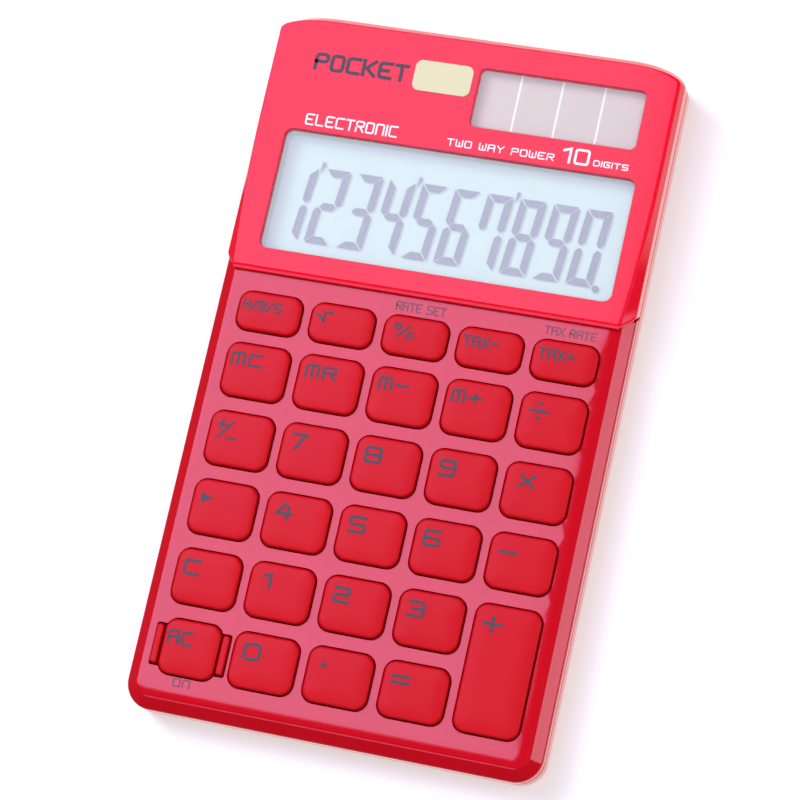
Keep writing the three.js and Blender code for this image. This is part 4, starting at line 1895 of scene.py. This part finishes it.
@dataclass
class KeyGuard:
    """Two low upright bars beside the all-clear key, on a U-shaped frame under the key face."""

    bar_width: float = 1.15
    bar_length: float = 6.4
    bar_corner: float = 0.46
    bar_round: float = 0.3
    frame_low: float = 5.0
    frame_high: float = 6.1
    sunk: float = 0.1
    arc_steps: int = 5

    def build(self) -> bpy.types.Object:
        """Builds the guard.

        Returns:
            The guard.
        """
        box = NodeBox.of("all_clear_guard")
        x, y = box.centre[0], NodeBox.of(GUARDED_KEY).centre[1]
        half = box.size()[0] / 2
        inner = half - self.bar_width
        low, high, bend = box.low.y, box.high.y, box.high.y - self.bar_width
        left_leg = [(x - half, low), (x - inner, low), (x - inner, bend)]
        right_leg = [(x + inner, bend), (x + inner, low), (x + half, low)]
        draft = MeshDraft()
        outline = [*left_leg, *right_leg, (x + half, high), (x - half, high)]
        draft.prism(outline, self.frame_low, self.frame_high)
        for side in (-1, 1):
            centre = (x + side * (half - self.bar_width / 2), y)
            rows = [self.bar_row(draft, centre, 0.0, self.frame_low + self.sunk)]
            for inset, depth in quarter_round(self.bar_round, self.arc_steps):
                rows.append(self.bar_row(draft, centre, inset, box.high.z - depth))
            draft.solid(rows)
        piece = draft.build("clear_guard", Finishes.get("key_cap"))
        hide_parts("all_clear_guard")
        return piece

    def bar_row(self, draft: MeshDraft, centre: Point, inset: float, z: float) -> list[int]:
        """Adds one outline of a bar, drawn in by an inset.

        Args:
            draft: The mesh to add to.
            centre: The bar's middle.
            inset: How far the outline is drawn in.
            z: Its height.

        Returns:
            The points' numbers.
        """
        size = (self.bar_width, self.bar_length)
        corner = self.bar_corner - inset
        return draft.add_outline(rounded_rectangle(centre, size, corner, self.arc_steps, inset), z)


# ---- Display and light cell ----------------------------------------


@dataclass
class Pane:
    """Clear window with a flange behind the shell and a softened upper edge."""

    node: str
    flange: float = 1.0
    flange_low: float = 7.1
    flange_high: float = 7.5
    corner: float = 1.3
    edge_round: float = 0.25
    arc_steps: int = 4
    corner_steps: int = 6

    def build(self) -> bpy.types.Object:
        """Builds the window.

        Returns:
            The window.
        """
        box = NodeBox.of(self.node)
        size = box.size(self.flange)
        section = [(-self.flange, self.flange_low), (-self.flange, self.flange_high), (0.0, self.flange_high)]
        for inset, depth in quarter_round(self.edge_round, self.arc_steps):
            section.append((inset, box.high.z - depth))
        draft = MeshDraft()
        rows = []
        for inset, z in section:
            corner = self.corner - inset
            outline = rounded_rectangle(box.centre, size, corner, self.corner_steps, inset)
            rows.append(draft.add_outline(outline, z))
        draft.solid(rows)
        piece = draft.build(self.node.replace("window", "pane"), Finishes.get("pane"))
        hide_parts(self.node)
        return piece


@dataclass
class SegmentDigits:
    """The liquid crystal's seven-segment figures, between the two sheets of its glass."""

    text: str = "1234567890"
    right: float = 26.3
    bottom: float = 21.0
    height: float = 13.0
    width: float = 4.4
    pitch: float = 5.59
    bar: float = 1.24
    slant: float = math.tan(math.radians(5))
    layer_z: float = 6.2
    thick: float = 0.02
    gap: float = 0.22
    cut_share: float = 0.7
    group: int = 3
    mark: tuple[Point, ...] = ((0.3, -0.9), (0.75, 0.2), (0.85, 1.0), (0.25, 1.0))
    point: Point = (0.75, -0.1)
    point_radius: float = 0.6
    point_steps: int = 18

    LIT: ClassVar[dict[str, str]] = {
        "0": "abcdef", "1": "bc", "2": "abged", "3": "abgcd", "4": "fgbc", "5": "afgcd", "6": "afgedc",
        "7": "fabc", "8": "abcdefg", "9": "abcdfg",
    }

    def segment(self, name: str) -> list[Point]:
        """Gives one bar's outline, from the figure's lower left corner.

        Args:
            name: The bar's letter; a to g, clockwise from the top, with g across the middle.

        Returns:
            The outline's points.
        """
        width, bar, half, top = self.width, self.bar, self.bar / 2, self.height / 2
        cut = self.gap * self.cut_share
        outer, inner = (0.0, bar) if name in "fe" else (width, width - bar)
        if name in "ad":
            shape = [(cut, top), (width - cut, top), (width - bar - cut, top - bar), (bar + cut, top - bar)]
        elif name == "g":
            right = [(width - bar - cut, half), (width - half - cut, 0.0), (width - bar - cut, -half)]
            shape = [(half + cut, 0.0), (bar + cut, half), *right, (bar + cut, -half)]
        else:
            tip = [(inner, half + cut), ((outer + inner) / 2, cut), (outer, half + cut)]
            shape = [(outer, top - cut), (inner, top - bar - cut), *tip]
        up = -1 if name in "dec" else 1
        return [(x, top + up * y) for x, y in shape]

    def build(self) -> bpy.types.Object:
        """Builds the lit figures with their thousands marks and decimal point.

        Returns:
            The figures.
        """
        draft = MeshDraft()
        top = self.layer_z + self.thick
        count = len(self.text)
        for place, digit in enumerate(self.text):
            left = self.right - self.width - (count - 1 - place) * self.pitch
            shapes = [self.segment(name) for name in self.LIT[digit]]
            if place % self.group == 0 and place < count - 1:
                shapes.append([(self.width + x, self.height + y) for x, y in self.mark])
            for shape in shapes:
                leaning = [(left + x + y * self.slant, self.bottom + y) for x, y in shape]
                draft.prism(leaning, self.layer_z, top)
        middle = (self.right + self.point[0], self.bottom + self.point[1])
        draft.prism(circle(middle, self.point_radius, self.point_steps), self.layer_z, top)
        piece = draft.build("display_figures", Finishes.get("segment"))
        return piece


@dataclass
class LightCell:
    """Light cell of four strips, told apart by the scribed lines between them."""

    lines: tuple[float, ...] = (0.237, 0.489, 0.743)
    line_width: float = 0.35
    frame: float = 1.0
    end_gap: float = 0.1
    sunk: float = 0.01
    thick: float = 0.02

    def build(self) -> bpy.types.Object:
        """Builds the scribed lines on the cell.

        Returns:
            The lines.
        """
        cell, window = NodeBox.of("solar_cell"), NodeBox.of("solar_window")
        low, high = cell.low.y + self.end_gap, cell.high.y - self.end_gap
        draft = MeshDraft()
        for share in self.lines:
            x = window.low.x + self.frame + window.size(self.frame)[0] * share
            left, right = x - self.line_width / 2, x + self.line_width / 2
            outline = [(left, low), (right, low), (right, high), (left, high)]
            draft.prism(outline, cell.high.z - self.sunk, cell.high.z + self.thick)
        piece = draft.build("cell_scribe_lines", Finishes.get("cell_line"))
        return piece


# ---- Printed wording on the faces ----------------------------------------


@dataclass
class PanelPrint:
    """Generic wording printed on the two front faces."""

    key_face_z: float
    display_face_z: float

    def build(self) -> None:
        """Prints each group of wording as one thin piece."""
        self.group("wording_key_face", "print_shell", self.key_face_z, [
            Legend("RATE SET", -4.4, 13.35, 8.5, 1.55, 0.24),
            Legend("TAX RATE", 20.65, 13.3, 8.7, 1.5, 0.24),
            Legend("ON", -26.7, -54.05, 2.95, 1.45, 0.24),
        ])
        self.group("wording_display_white", "print_white", self.display_face_z, [
            Legend("ELECTRONIC", -26.4, 42.2, 16.0, 2.0, 0.28),
            Legend("TWO WAY POWER", -1.85, 41.5, 18.2, 1.25, 0.2),
            Legend("10", 17.6, 43.0, 4.6, 2.75, 0.4),
            Legend("DIGITS", 22.9, 41.5, 5.9, 1.05, 0.2),
        ])
        self.group("wording_display_grey", "legend", self.display_face_z, [
            Legend("POCKET", -27.2, 52.95, 16.4, 3.1, 0.6),
        ])

    @staticmethod
    def group(name: str, finish: str, z: float, legends: list[Legend]) -> None:
        """Builds one group of wording.

        Args:
            name: The piece's name.
            finish: Key of its finish.
            z: Height of the face it lies on.
            legends: Its wording.
        """
        draft = MeshDraft()
        for legend in legends:
            legend.draw(draft, lambda x, y: z, FACE_PRINT_THICK)
        draft.build(name, Finishes.get(finish))


# ---- Inner works and fasteners ----------------------------------------


@dataclass
class InnerWorks:
    """Pieces that keep their CAD shape and take a finish of their own."""

    finishes: tuple[tuple[str, str], ...] = (
        ("lcd_glass", "lcd_glass"),
        ("lcd_reflector", "reflector"),
        ("solar_cell", "light_cell"),
        ("zebra_connector", "silicone"),
        ("blank_label", "label"),
        ("circuit_board", "board"),
        ("key_mat", "silicone"),
        ("chip_blob", "epoxy"),
        ("capacitor", "ceramic"),
        ("button_cell", "nickel"),
        ("battery_contact_positive", "zinc"),
        ("battery_contact_negative", "zinc"),
        ("solar_wire_positive", "wire_red"),
        ("solar_wire_negative", "wire_black"),
        *((f"board_screw_{number}", "zinc") for number in range(1, 5)),
    )

    def dress(self) -> None:
        """Gives each piece its finish."""
        for node, finish in self.finishes:
            materials = frame["nodes"][node].data.materials
            materials.clear()
            materials.append(Finishes.get(finish))
            LOG.info("dressed %s", node)


@dataclass
class CaseScrew:
    """Pan-head screw with a cross recess, seen from the back in its seat."""

    node: str
    arm: float = 0.85
    arm_half: float = 0.17
    recess: float = 0.4
    taper: float = 0.7
    head_height: float = 0.7
    shank: float = 0.6
    edge_round: float = 0.25
    arc_steps: int = 4

    def build(self) -> bpy.types.Object:
        """Builds the screw.

        Returns:
            The screw.
        """
        box = NodeBox.of(self.node)
        head, under = box.size()[0] / 2, box.low.z + self.head_height
        arc = quarter_round(self.edge_round, self.arc_steps)
        section = [(head - depth, box.low.z + inset) for inset, depth in arc]
        section += [(head, under), (self.shank, under), (self.shank, box.high.z)]
        draft = MeshDraft()
        rows = [draft.add_outline(circle(box.centre, radius), z) for radius, z in section]
        draft.loft(rows)
        draft.cap(rows[-1])
        mouth = draft.add_outline(self.cross(box.centre, 1.0), box.low.z)
        pit = draft.add_outline(self.cross(box.centre, self.taper), box.low.z + self.recess)
        draft.bridge(mouth, pit)
        draft.cap(pit)
        draft.fill(rows[0], [mouth])
        piece = draft.build(f"pan_{self.node}", Finishes.get("zinc"))
        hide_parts(self.node)
        return piece

    def cross(self, centre: Point, scale: float) -> list[Point]:
        """Gives the outline of the cross recess.

        Args:
            centre: Its middle.
            scale: Its size as a share of the mouth's.

        Returns:
            The outline's points.
        """
        corner = [(self.arm, -self.arm_half), (self.arm, self.arm_half), (self.arm_half, self.arm_half)]
        outline: list[Point] = []
        for _ in range(4):
            outline += [(centre[0] + x * scale, centre[1] + y * scale) for x, y in corner]
            corner = [(-y, x) for x, y in corner]
        return outline


def case_screws() -> list[str]:
    """Gives the case screws' CAD nodes."""
    return sorted(node for node in frame["nodes"] if node.startswith("case_screw"))


# ---- The whole calculator ----------------------------------------


def key_openings() -> list[Opening]:
    """Gives the key shell's openings, one round each key with a running gap.

    Returns:
        The openings.
    """
    openings: list[Opening] = []
    for node in sorted(KEY_FACES):
        cap = KeyCap(node)
        kind = GuardedOpening if node == GUARDED_KEY else Opening
        size = (cap.width + 2 * KEY_GAP, cap.length + 2 * KEY_GAP)
        openings.append(kind(cap.centre, size, cap.corner + KEY_GAP))
    return openings


def window_openings() -> list[Opening]:
    """Gives the display shell's openings for its two windows.

    Returns:
        The openings.
    """
    openings: list[Opening] = []
    for node, corner in (("display_window", 1.45), ("solar_window", 1.05)):
        box = NodeBox.of(node)
        openings.append(Opening(box.centre, box.size(WINDOW_LAP), corner))
    return openings


def main() -> None:
    """Builds the calculator, the studio and the camera."""
    logging.basicConfig(level=logging.INFO, format="%(message)s")
    StudioCamera().build()
    Studio().build()
    width, length = NodeBox.of("rear_case").size()
    plan = BodyPlan(width / 2, length / 2)
    key_top, display_top = (NodeBox.of(node).high.z for node in ("key_case", "display_cover"))
    RearShell(plan).build()
    lower = KeyShell(plan, End.KEYS, key_top, 4.4, 5.9, 1.4, key_openings())
    lower.build("key_shell", "key_case", "key_shell")
    upper = DisplayShell(plan, End.DISPLAY, display_top, 4.4, 7.1, 1.4, window_openings(), lip_round=1.1)
    upper.build("display_shell", "display_cover", "display_shell")
    for node in sorted(KEY_FACES):
        KeyCap(node).build()
    KeyGuard().build()
    Pane("display_window").build()
    Pane("solar_window", corner=0.9).build()
    SegmentDigits().build()
    LightCell().build()
    PanelPrint(key_top, display_top).build()
    InnerWorks().dress()
    for node in case_screws():
        CaseScrew(node).build()


if __name__ == "__main__":
    main()
